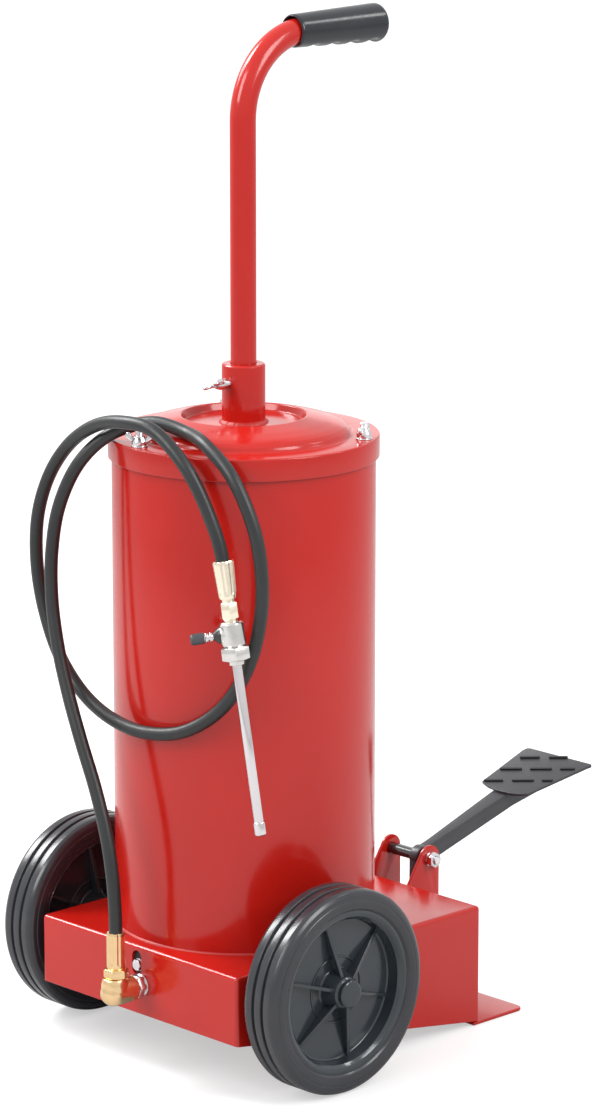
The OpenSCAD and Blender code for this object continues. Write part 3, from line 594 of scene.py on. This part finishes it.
def rim(side, base):
    word = "left" if side < 0 else "right"
    bm = bmesh.new()
    w = along_x(side * 173.5, -48, 100)
    half = [(10.5, 20), (13.6, 20), (15.4, 18), (21, 3), (70, 2.5), (71, 15), (74, 18), (77, 18.9), (80, 18.9)]
    rad = [0.4, 1.2, 1.6, 2.2, 2.2, 1.5, 1.5, 0.8, 0.2]
    pts = half + [(r, -z) for r, z in reversed(half)]
    loft(bm, w, rounded(pts, rad + rad[::-1], 5), 144)
    rib = rounded([(16, 2), (71.3, 2), (71.3, 5), (14.8, 16.3)], [0, 0, 1.0, 0.6], 4)
    for k in range(6):
        for up in (1, -1):
            o = rib if up > 0 else [(x, -y) for x, y in reversed(rib)]
            prism(bm, o, -1.7, 1.7, w @ turn_z(base + 60 * k) @ Matrix.Rotation(math.radians(90), 4, "X"), bevel=0.5, n=3)
    for up in (1, -1):
        loft(bm, w, rounded([(31, up * 2.2), (33.4, up * 2.2), (33.2, up * 3.9), (31.2, up * 3.9)], [0, 0, 0.6, 0.6], 3), 96)
    return from_bm("rim_" + word + "_moulded", bm, M["rim"], "wheel_" + word, ["rim_" + word], 38)


for side, base in ((-1, 5), (1, 12.5)):
    tyre(side)
    rim(side, base)

bm = bmesh.new()
for side in (-1, 1):
    m = frame_to(P(side * 193.8, -48, 100), X_ * side, -Z_)
    loft(bm, m, rounded([(8.05, 0), (13.4, 0), (13.4, 3.9), (12.4, 4.8), (11.2, 5.2), (0, 5.2)], [0.2, 0.3, 0.7, 0.5, 0.8, 0], 4, False) + [(0, 2.3), (8.05, 2.3)], 64)
from_bm("hub_caps_domed", bm, M["rim"], "base", ["hub_caps"], 38)

# ---------------------------------------------------------------- chassis
FRONT, REAR, TOP = -142, 188, 123


def box_row(inset, r, z):
    """one closed row of points round the box, z a number or a function of y"""
    out = []
    for sx, sy, a0 in ((1, 1, 0), (-1, 1, 90), (-1, -1, 180), (1, -1, 270)):
        cx = sx * (140 - inset - r)
        cy = (REAR - inset - r) if sy > 0 else (FRONT + inset + r)
        for x, y in arc(cx, cy, r, a0, a0 + 90, 8):
            out.append((x, y, z(y) if callable(z) else z))
    return out


def low_edge(y):
    return 55 - 52 * (min(max(y, FRONT), REAR) - FRONT) / (REAR - FRONT)


def chassis():
    bm = bmesh.new()
    rows = [box_row(0.35, 3.65, lambda y: low_edge(y)), box_row(0, 4, lambda y: low_edge(y) + 0.4), box_row(0, 4, TOP - 4)]
    for k in range(1, 9):
        t = math.radians(90 * k / 8)
        rows.append(box_row(4 * (1 - math.cos(t)), max(0.02, 4 * math.cos(t)), TOP - 4 + 4 * math.sin(t)))
    inner = [box_row(2.65, 1.85, lambda y: low_edge(y)), box_row(3, 1.5, lambda y: low_edge(y) + 0.4), box_row(3, 1.5, TOP - 4.5)]
    for k in range(1, 6):
        t = math.radians(90 * k / 5)
        inner.append(box_row(3 + 1.5 * (1 - math.cos(t)), max(0.02, 1.5 * math.cos(t)), TOP - 4.5 + 1.5 * math.sin(t)))
    vo = [[bm.verts.new(P(*p)) for p in row] for row in rows]
    vi = [[bm.verts.new(P(*p)) for p in row] for row in inner]
    add_ring_faces(bm, vo, False, True)
    add_ring_faces(bm, vi, False, True)
    add_ring_faces(bm, [vo[0], vi[0]], False, True)
    bm.faces.new(vo[-1])
    bm.faces.new(vi[-1])
    bmesh.ops.recalc_face_normals(bm, faces=bm.faces)
    me = bpy.data.meshes.new("chassis_folded")
    bm.to_mesh(me)
    bm.free()
    o = link(bpy.data.objects.new("chassis_folded", me))
    # slot in the front wall, hole in the rear wall
    cb = bmesh.new()
    slot = arc(-1.2, 100, 6.5, 180, 360, 16) + arc(-1.2, 111.5, 6.5, 0, 180, 16)
    prism(cb, slot, 0, 20, frame_to(P(0, FRONT + 10, 0), -Y_, X_), bevel=0)
    prism(cb, arc(5, 85, 20, 0, 360 - 7.5, 47), 0, 20, frame_to(P(0, REAR + 10, 0), -Y_, X_), bevel=0)
    bmesh.ops.recalc_face_normals(cb, faces=cb.faces)
    cm = bpy.data.meshes.new("cutter")
    cb.to_mesh(cm)
    cb.free()
    c = link(bpy.data.objects.new("cutter", cm))
    m = o.modifiers.new("holes", "BOOLEAN")
    m.operation, m.solver, m.object = "DIFFERENCE", "EXACT", c
    new = bpy.data.meshes.new_from_object(o.evaluated_get(bpy.context.evaluated_depsgraph_get()))
    bpy.data.objects.remove(o)
    bpy.data.objects.remove(c)
    new.materials.clear()
    new.name = "chassis_folded"
    return piece("chassis_folded", new, M["red"], "base", ["chassis"], 32)


chassis()

bm = bmesh.new()
prism(bm, rounded([(-140, 180), (140, 180), (140, 252), (-140, 252)], [1, 1, 8, 8], 8), 0, 3, Matrix.Translation((0, Y0 / 1000, 0)), bevel=0.7, n=3)
from_bm("toe_plate_rounded", bm, M["red"], "base", ["toe_plate"], 38)

# ---------------------------------------------------------------- drum, welds, lid
bm = bmesh.new()
loft(bm, along_z(0, 0, 0), rounded([(125, 123), (127, 123), (127, 600), (125, 600)], 0.6, 3), 224)
from_bm("drum_shell_rolled", bm, M["red"], "base", ["drum_shell"], 38)


def bead(bm, r, w, h, z, count, segs, seed):
    """a weld bead round a cylinder: a rippled fillet of width w and height h"""
    def ripple(a):
        t = a * count / (2 * math.pi)
        return 0.10 * abs(math.sin(math.pi * t)) + 0.07 * math.sin(a * 7 + seed) + 0.05 * math.sin(a * 17 + 2 * seed)

    rows = [(r - 0.4, z - 0.2)]
    for k in range(8):
        t = math.radians(90 * k / 7)
        rows.append(lambda a, t=t: (r + w * (0.90 + ripple(a)) * math.cos(t) ** 1.5, z + h * (0.90 + ripple(a)) * math.sin(t) ** 1.5))
    rows.append((r - 0.4, z + h * 0.95))
    loft(bm, along_z(0, 0, 0), rows, segs)


bm = bmesh.new()
bead(bm, 127, 1.6, 1.6, 123, 150, 900, 1.0)
from_bm("base_weld_rippled", bm, M["red_weld"], "base", ["base_weld"], 50)
bm = bmesh.new()
bead(bm, 21, 3.0, 2.9, 617, 34, 272, 2.0)
from_bm("socket_weld_rippled", bm, M["red_weld"], "base", ["socket_weld"], 50)

LID = [(0, 617), (56, 617), (57.5, 617.6), (60, 623.9), (61.5, 624.4), (80, 620.6), (92, 617.2), (97.5, 614.6), (101.3, 611.2), (103, 608.4), (104.6, 607), (106.5, 606.6),
       (130.5, 606.6), (130.5, 585), (128.5, 585), (128.5, 604.6), (105.6, 604.6), (103, 605.3), (101.2, 607.4), (99.6, 610), (96.2, 613), (91.3, 615.2), (79.6, 618.6),
       (61.5, 622.3), (59.2, 615.4), (57, 615), (0, 615)]
LID_R = [0, 2, 2, 1.5, 3, 60, 30, 8, 4, 3, 2.5, 3, 1.7, 0.6, 0.4, 1, 2, 2, 2, 3, 6, 20, 40, 1, 1, 1, 0]
bm = bmesh.new()
loft(bm, along_z(0, 0, 0), rounded(LID, LID_R, 5), 224)
from_bm("lid_pressed", bm, M["red"], "base", ["lid"], 40)

STUDS = {"front": (-98.5, 122.5), "right": (30, -92), "left": (145, -10)}
bm = bmesh.new()
bp = bmesh.new()
for word, (a, turn) in STUDS.items():
    x, y = 119.5 * math.cos(math.radians(a)), 119.5 * math.sin(math.radians(a))
    loft(bm, along_z(x, y, 0), [(0, 572), (3.6, 572), (4, 572.5), (4, 608)] + thread(4, 608, 622, 1.25) + [(3.9, 622.1), (3.2, 622.8), (0, 622.8)], 40, False)
    loft(bp, along_z(x, y, 606.6), rounded([(4.2, 0), (8, 0), (8, 1.4), (4.2, 1.4)], 0.35, 3), 56)
    bn = bmesh.new()
    m = along_z(x, y, 608.1) @ turn_z(a + turn)
    loft(bn, m, rounded([(4.05, 0), (7.2, 0), (7.2, 3.9), (6.9, 4.6), (5.6, 8.5), (4.05, 8.5)], [0.4, 0.5, 0.5, 1, 0.8, 0.5], 4), 48)
    wings(bn, m, 14.5, 1.5, 11.5, 3.4)
    from_bm("wing_nut_" + word + "_cast", bn, M["bright_zinc"], "wing_nut_" + word, ["wing_nut_" + word], 40)
from_bm("lid_studs_threaded", bm, M["zinc"], "base", ["lid_studs"], 40)
from_bm("lid_pads_turned", bp, M["zinc"], "base", ["lid_pads"], 38)

# ---------------------------------------------------------------- handle
bm = bmesh.new()
loft(bm, along_z(0, 0, 0), rounded([(12.6, 620), (21, 617), (21, 672.6), (19.6, 674), (12.6, 674)], [0, 0, 0.8, 0.8, 0.8], 4), 96)
loft(bm, along_z(0, 0, 0), [(0, 617.1), (20, 617.1), (20, 620), (0, 620)], 48, False)
from_bm("handle_socket_turned", bm, M["red"], "base", ["handle_socket"], 38)

bm = bmesh.new()
loft(bm, frame_to(P(0, -27, 657), Y_, X_), rounded([(3.05, 0), (4.9, 0), (4.9, 6.6), (3.05, 6.6)], [0.2, 0.6, 0, 0], 3), 40)
from_bm("clamp_boss_turned", bm, M["bright_zinc"], "base", ["clamp_boss"], 38)
bm = bmesh.new()
m = frame_to(P(0, -27.3, 657), -Y_, X_)
loft(bm, m, [(0, -14.6), (2.5, -14.6), (3, -14.0), (3, -2), (3, 0.1), (5.0, 0.1), (5.4, 0.5), (5.4, 3.8), (5.1, 4.3), (4.1, 8.1), (3.6, 8.5), (0, 8.5)], 40, False)
wings(bm, m @ turn_z(25), 10.8, 2, 18, 2.7)
from_bm("clamp_bolt_winged", bm, M["bright_zinc"], "clamp_bolt", ["clamp_bolt"], 40)

bm = bmesh.new()
path = [P(0, 0, 621.2)] + [P(0, 0, z) for z in (660, 720, 780, 840, 890, 905.5)]
path += [P(0, 80 - 80 * math.cos(math.radians(t)), 905.5 + 80 * math.sin(math.radians(t))) for t in range(3, 90, 3)]
path += [P(0, y, 985.5) for y in (80, 84, 110, 140, 173)]
sweep(bm, path, 12.5, 48, up=(1, 0, 0))
from_bm("handle_tube_bent", bm, M["red"], "handle", ["handle_tube"], 38)

bm = bmesh.new()
m = frame_to(P(0, 64, 985.5), Y_, Z_)


def grip_radius(s):
    r = 16 + 2.8 * min(1, max(0, (s - 1.5) / 104.5))
    if s < 2.5:
        r -= 1.4 * (1 - s / 2.5) ** 2
    if s > 110:
        t = (s - 110) / 4
        r = 15.1 + 3.7 * math.sqrt(max(0.0, 1 - t * t))
    return r


def grip_point(s):
    r = grip_radius(s)
    d = min(abs(s - 25 - 25 * k) for k in range(4))
    low = -(25.5 - math.sqrt(11.5 ** 2 - d * d)) if d < 11.4 else -99

    def f(a):
        x = r * math.cos(a)
        if x < low + 1.6 and low > -90:
            x2 = low + 1.6 * math.exp(min(0.0, (x - low - 1.6) / 1.6))
            x = max(x, min(x2, low + 1.6)) if x < low + 1.6 else x
        y = r * math.sin(a)
        return x, y
    return f


rings = []
rows = [k * 110 / 110 for k in range(111)] + [110 + 4 * math.sin(math.radians(90 * k / 6)) for k in range(1, 7)]
for s_ in rows:
    f = grip_point(s_)
    ring = []
    for k in range(72):
        x, y = f(2 * math.pi * k / 72)
        ring.append(bm.verts.new(m @ Vector((x / 1000, y / 1000, s_ / 1000))))
    rings.append(ring)
inner = [(14.6, 0.3), (13.9, 1.0), (13.9, 8), (12.7, 17), (12.7, 109)]
rings_in = [[bm.verts.new(m @ Vector((r * math.cos(2 * math.pi * k / 72) / 1000, r * math.sin(2 * math.pi * k / 72) / 1000, z / 1000))) for k in range(72)] for r, z in inner]
add_ring_faces(bm, rings_in[::-1] + rings, False, True)
bm.faces.new(rings[-1])
bm.faces.new(rings_in[-1])
from_bm("grip_moulded", bm, M["grip"], "handle", ["grip"], 50)

# ---------------------------------------------------------------- outlet: elbow, nuts, ferrules
def elbow_build(b):
    loft(b, along_y(5, -177.4, 85), [(0, 0), (13, 0), (13, 22.2), (12.2, 22.9), (0, 22.9)], 64, False)
    bmesh.ops.create_uvsphere(b, u_segments=48, v_segments=24, radius=0.013, matrix=Matrix.Translation(P(5, -177.4, 85)))
    loft(b, along_y(5, -158, 85), [(0, 0), (8.5, 0), (8.5, 14.5), (0, 14.5)], 64, False)
    loft(b, along_z(5, -176.2, 85), [(0, 0), (12.9, 0), (12.9, 7.5), (12.4, 11), (11.3, 14.2), (10.6, 14.9), (0, 14.9)], 64, False)


blended("elbow_cast", elbow_build, M["brass"], "base", ["elbow"], 0.55, 5)
bm = bmesh.new()
nut(bm, along_z(5, -174, 0), 100, 109, 21, 3.5)
from_bm("elbow_nut_chamfered", bm, M["brass"], "base", ["elbow_nut"], 35)
bm = bmesh.new()
nut(bm, along_y(5, 0, 85), -152, -143.5, 20, 8.6)
loft(bm, along_y(5, 0, 85), rounded([(6.05, -143.5), (10.9, -143.5), (10.9, -142), (6.05, -142)], 0.4, 3), 72)
from_bm("elbow_lock_nut", bm, M["zinc"], "base", ["elbow_washer"], 35)
bm = bmesh.new()
m = along_y(-1.2, 0, 103.2)
nut(bm, m, -143.2, -139.8, 10, 0, True, False)
loft(bm, m, rounded([(2, -139.8), (6.2, -139.8), (6.2, -139), (2, -139)], [0, 0.25, 0.2, 0], 3), 64)
loft(bm, m, [(0, -140), (3, -140)] + thread(3, -139, -131.5, 1.0, 0.25) + [(2.5, -131), (0, -131)], 36, False)
from_bm("slot_bolt_hex", bm, M["bright_zinc"], "base", ["slot_bolt"], 35)


def crimps(a, wide=11):
    t = abs((math.degrees(a) - 22.5 + 22.5) % 45 - 22.5)
    return max(0.0, 1 - (t / wide) ** 2)


def ferrule(bm, m, r0, r1, length, c0, c1, depth):
    rows = [(3.6, 0.2), (6.55, 0.0), (6.9, -0.0)]
    n = 28
    for k in range(n + 1):
        z = length * k / n
        r = r0 + (r1 - r0) * k / n
        edge = min(1, max(0, (z - c0) / 1.5)) * min(1, max(0, (c1 - z) / 1.5))
        cut = 0.7 if k in (0, n) else 0.15 if k in (1, n - 1) else 0.0
        rows.append(lambda a, r=r, z=z, e=edge, cut=cut: (r - cut - depth * e * crimps(a), z))
    rows += [(3.6, length)]
    loft(bm, m, rows, 96)


bm = bmesh.new()
# the mouth of the ferrule faces the hose, so its own axis runs back from it
m = frame_to(P(5, -174, 145), -Z_, X_)
ferrule(bm, m, 9, 9, 36, -9, 32, 0.9)
from_bm("lower_ferrule_crimped", bm, M["brass"], "base", ["lower_ferrule"], 40)

XN = Vector((ND.z * ND.x, ND.z * ND.y, -(ND.x ** 2 + ND.y ** 2))).normalized()


def nozzle(s):
    p = N0 + ND * s
    return frame_to(P(*p), ND, XN)


bm = bmesh.new()
ferrule(bm, nozzle(0), 10.2, 8.4, 36, -9, 32, 0.9)
from_bm("upper_ferrule_crimped", bm, M["pale_brass"], "base", ["upper_ferrule"], 40)
bm = bmesh.new()
loft(bm, nozzle(36), [(3.5, 0), (6, 0), (6, 3.1), (3.5, 3.1)], 48)
nut(bm, nozzle(36), 3, 19, 15, 3.5)
loft(bm, nozzle(36), [(3.5, 18.9), (6.5, 18.9), (6.5, 21.5), (3.5, 21.5)], 48)
from_bm("adaptor_hex", bm, M["pale_brass"], "base", ["adaptor"], 35)
bm = bmesh.new()
loft(bm, nozzle(57.5), rounded([(3, 0), (9.8, 0), (11.5, 2), (11.5, 22), (10.4, 23.5), (3, 23.5)], [0, 0.6, 1.2, 1.2, 0.6, 0], 4), 72)
KNOB = nozzle(69.5) @ turn_z(-35) @ Matrix.Rotation(math.radians(90), 4, "Y")
loft(bm, KNOB, [(0, 6), (8.2, 6), (8.2, 11.6), (8.0, 11.9), (0, 11.9)], 48, False)
from_bm("valve_body_turned", bm, M["silver"], "base", ["valve_body"], 35)
bm = bmesh.new()
nut(bm, nozzle(81), 0, 13, 26, 3, True, True, 96)
loft(bm, nozzle(81), rounded([(3, 12.9), (7.5, 12.9), (7.5, 18), (3, 18)], [0, 0, 0.8, 0], 4), 56)
from_bm("valve_nut_chamfered", bm, M["silver"], "base", ["valve_nut"], 35)
bm = bmesh.new()
loft(bm, KNOB, [(0, 8), (3, 8), (3, 12.1), (7.9, 12.1), (8.2, 12.5), (8.0, 13.0), (6.2, 15.2), (4.4, 17.2), (3.4, 18.5), (0, 18.5)], 48, False)
from_bm("knob_skirt", bm, M["black"], "valve_knob", ["valve_knob"], 35)
bm = bmesh.new()
loft(bm, KNOB, rounded([(0, 18.4), (3.2, 18.4), (3.2, 19.4), (5, 19.4), (5, 22), (3.2, 22), (3.2, 23.6), (5, 23.6), (5, 26.2), (3.2, 26.2), (3.2, 27.3), (0, 27.3)],
                       [0, 0, 0.2, 0.7, 0.7, 0.2, 0.2, 0.7, 0.7, 0.2, 0, 0], 4, False), 48, False)
from_bm("knob_rings", bm, M["chrome"], "valve_knob", (), 35)
bm = bmesh.new()


def knurl(z, r):
    return lambda a: (r - 0.18 * (0.5 + 0.5 * math.cos(24 * a)), z)


loft(bm, KNOB, [(0, 27.2), (4.9, 27.2), (5.4, 27.7), knurl(28.4, 5.4), knurl(33, 5.4), knurl(37.4, 5.4), (5.3, 38.2), (5.0, 39.0), (4.2, 39.8), (3.0, 40), (0, 40)], 96, False)
from_bm("knob_grip", bm, M["knob"], "valve_knob", (), 35)
bm = bmesh.new()
loft(bm, nozzle(99), rounded([(3, 0), (4.75, 0), (4.75, 151), (3, 151)], 0.2, 2), 48)
from_bm("nozzle_tube_drawn", bm, M["chrome"], "base", ["nozzle_tube"], 35)
bm = bmesh.new()
loft(bm, nozzle(250), rounded([(3.5, 0), (4.8, 0), (5.6, 1), (5.6, 12), (4.9, 13), (3.5, 13)], [0.1, 0.4, 0.6, 0.6, 0.3, 0.3], 3), 56)
from_bm("end_coupler_turned", bm, M["chrome"], "base", ["end_coupler"], 35)

# ---------------------------------------------------------------- pedal
PLATE = Matrix.Translation(P(11.4, 355, 184.7)) @ Matrix.Rotation(TILT, 4, "X")
bm = bmesh.new()
outline = [(-32, 1), (-20, -4), (-2, -7.5), (15, -7), (27, -4), (33, 1), (43.5, 80), (45, 86), (43, 87.7), (-43, 87.7), (-46.5, 86), (-47.5, 81)]
prism(bm, rounded(outline, [1.5, 25, 25, 25, 12, 1.5, 5, 2, 2, 2, 2, 5], 4), -3, 0, PLATE, bevel=0.6, n=3)
bt = bmesh.new()
for x, y, w in ((-26, 68.3, 21.8), (1.5, 82.6, 20.6), (-24.2, 37.1, 23.9), (4.6, 52.2, 23.8), (30, 65.5, 16), (-20.9, 6.9, 20.6), (7.2, 21.8, 23.7), (30.5, 34, 12)):
    mb = PLATE @ Matrix.Translation((x / 1000, y / 1000, 0)) @ turn_z(27.6)
    bar = arc(w / 2 - 1.8, 0, 1.8, -90, 90, 8) + arc(-w / 2 + 1.8, 0, 1.8, 90, 270, 8)
    prism(bt, bar, -0.3, 1.95, mb, bevel=0.5, n=3)
from_bm("pedal_plate_ribbed", bm, M["dark"], "pedal", ["pedal_plate"], 38)
# the bars take the darker tread colour: painted shade for the shadowed fronts of the raised bars
from_bm("pedal_treads", bt, M["tread"], "pedal", (), 38)
arm = softened("pedal_arm", M["dark"], "pedal", 1.1, 30, 3)
arm.data.materials.append(M["sleeve"])
for p in arm.data.polygons:
    q = p.center * 1000 - Vector((0, 229 + Y0, 138.7))
    if (q.x < 9.5 or q.x > 21.5) and math.hypot(q.y, q.z) < 6.4:
        p.material_index = 1
softened("pedal_bracket", M["red"], "base", 0.5, 30, 2)
bm = bmesh.new()
m = along_x(0, 229, 138.7)
nut(bm, m, -34.5, -29.1, 13, 0, True, False)
loft(bm, m, [(0, -29.5), (4, -29.5), (4, 29)] + thread(4, 30, 39, 1.25) + [(3.9, 39.2), (3.3, 40), (0, 40)], 40, False)
from_bm("pivot_bolt_threaded", bm, M["zinc"], "base", ["pivot_bolt"], 35)
bm = bmesh.new()
loft(bm, m, rounded([(4.1, 29), (7.4, 29), (7.4, 30.4), (4.1, 30.4)], 0.3, 2), 56)
nut(bm, m, 30.4, 38, 14, 4.1)
from_bm("pivot_nut_chamfered", bm, M["bright_zinc"], "base", ["pivot_nut"], 35)

# ---------------------------------------------------------------- parts under the box
softened("pump_barrel", M["iron"], "base", 1.0, 30, 3)
softened("pump_neck", M["iron"], "base", 0.8, 30, 2)
# the clamp behind the slot is coloured near-black: painted shade seen through the slot
softened("pipe_clamp", M["blackened"], "base", 0.5, 30, 2)
softened("plunger_head", M["steel"], "plunger", 0.4, 25, 2)
bm = bmesh.new()
nut(bm, along_y(5, 0, 85), 120, 138, 36, 8.2)
loft(bm, along_y(5, 0, 85), rounded([(8.2, 137.9), (14, 137.9), (14, 150), (8.2, 150)], [0, 0, 1, 0.4], 4), 72)
from_bm("gland_nut_chamfered", bm, M["zinc"], "base", ["gland_nut"], 35)
bm = bmesh.new()
for a in range(45, 360, 90):
    x, y = 5 + 29 * math.cos(math.radians(a)), 30 + 29 * math.sin(math.radians(a))
    nut(bm, along_z(x, y, 0), 103.5, 108, 10, 0, True, False)
    loft(bm, along_z(x, y, 0), [(0, 107.5), (3, 107.5), (3, 120), (0, 120)], 32, False)
from_bm("neck_screws_hex", bm, M["zinc"], "base", ["neck_screws"], 35)
bm = bmesh.new()
for side in (-1, 1):
    lo_, hi_ = (140, 151.7) if side > 0 else (-151.7, -140)
    loft(bm, along_x(0, -48, 100), rounded([(8.05, lo_), (13, lo_), (13, hi_), (8.05, hi_)], [0.2, 0.8, 0.8, 0.2], 3), 56)
from_bm("axle_collars_turned", bm, M["zinc"], "base", ["axle_collars"], 35)

# the return spring: seven turns of round wire, drawn in one fixed shape; the real turns close up as the plunger goes in
bm = bmesh.new()
m = along_y(5, 151.7, 85)
turned = [math.tau * k / 40 for k in range(7 * 40 + 1)]
sweep(bm, [m @ (Vector((11.5 * math.cos(a), 11.5 * math.sin(a), 58.3 * a / (7 * math.tau))) / 1000) for a in turned], 1.5, 14)
spring = from_bm("return_spring_wound", bm, M["steel"], "base", ["return_spring"], 60)
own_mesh(spring)

# ---------------------------------------------------------------- nodes that keep their CAD shape
LOOK = {
    "red": "drum_floor lid_lugs",
    "nylon": "bush_left bush_right packing",
    "rubber": "lid_gasket follower_seal",
    "zinc": "outlet_pipe",
    "bar": "axle",
    "alu": "follower_plate",
    "chrome": "plunger check_ball",
    "steel": "check_spring",
}
for key, names in LOOK.items():
    for n in names.split():
        paint(n, M[key])

# ---------------------------------------------------------------- floor, light
bm = bmesh.new()
bmesh.ops.create_grid(bm, x_segments=1, y_segments=1, size=12)
me = bpy.data.meshes.new("floor")
bm.to_mesh(me)
bm.free()
floor = link(bpy.data.objects.new("floor", me))
floor.location = (0, 0, -0.0005)
fm, ft, fb = material("floor")
ft.links.new(ramp(ft, noise(ft, coords(ft), 1.5, 3), [(0.3, (0.49, 0.49, 0.49)), (0.7, (0.51, 0.51, 0.51))]), fb.inputs["Base Color"])
gloss(fb, rough=0.6, spec=0.1)
fb.inputs["Emission Color"].default_value = (0.5, 0.5, 0.5, 1)
ft.links.new(ft.nodes.new("ShaderNodeLightPath").outputs["Is Camera Ray"], fb.inputs["Emission Strength"])
me.materials.append(fm)

world = bpy.data.worlds.new("world")
bpy.context.scene.world = world
world.use_nodes = True
wt = world.node_tree
bg = wt.nodes["Background"]
bg.inputs["Color"].default_value = (1, 1, 1, 1)
way = wt.nodes.new("ShaderNodeTexCoord").outputs["Generated"]
split = wt.nodes.new("ShaderNodeSeparateXYZ")
wt.links.new(way, split.inputs["Vector"])
wt.links.new(span(wt, split.outputs["Z"], 0.81, 0.97, 0.0, 0.6), bg.inputs["Strength"])
seen = wt.nodes.new("ShaderNodeBackground")
seen.inputs["Color"].default_value = (1, 1, 1, 1)
seen.inputs["Strength"].default_value = 1.0
lp = wt.nodes.new("ShaderNodeLightPath")
mixed = wt.nodes.new("ShaderNodeMixShader")
wt.links.new(lp.outputs["Is Camera Ray"], mixed.inputs["Fac"])
wt.links.new(bg.outputs["Background"], mixed.inputs[1])
wt.links.new(seen.outputs["Background"], mixed.inputs[2])
wt.links.new(mixed.outputs["Shader"], wt.nodes["World Output"].inputs["Surface"])


def area(name, loc, target, size, power, size_y=None, color=(1, 1, 1)):
    d = bpy.data.lights.new(name, "AREA")
    d.shape = "RECTANGLE"
    d.size, d.size_y = size, size_y or size
    d.energy = power
    d.color = color
    o = link(bpy.data.objects.new(name, d))
    o.location = loc
    o.rotation_mode = "QUATERNION"
    o.rotation_quaternion = (Vector(target) - Vector(loc)).to_track_quat("-Z", "Y")
    return o


KEY = Vector((-0.70, -0.23, 0.68)).normalized()
sun = bpy.data.lights.new("sun", "SUN")
sun.energy = 1.3
sun.angle = math.radians(20)
so = link(bpy.data.objects.new("sun", sun))
so.rotation_mode = "QUATERNION"
so.rotation_quaternion = (-KEY).to_track_quat("-Z", "Y")
area("window", KEY * 3.4 + Vector((0, 0, 0.3)), (0, 0, 0.35), 1.3, 56, 1.8)
area("front", (-0.5, -3.0, 2.5), (0, -0.1, 0.40), 1.4, 62, 1.8)
area("fill", (2.9, 0.5, 2.5), (0, 0.1, 0.3), 1.4, 65, 1.8)
area("strip", (1.35, 2.0, 2.7), (0, 0, 0.9), 0.5, 8, 0.5)
area("card", (-2.5, 2.4, 1.05), (0, 0, 0.6), 2.4, 4.5, 1.1).visible_camera = False

bpy.context.scene.view_settings.view_transform = "Standard"
bpy.context.scene.view_settings.look = "None"
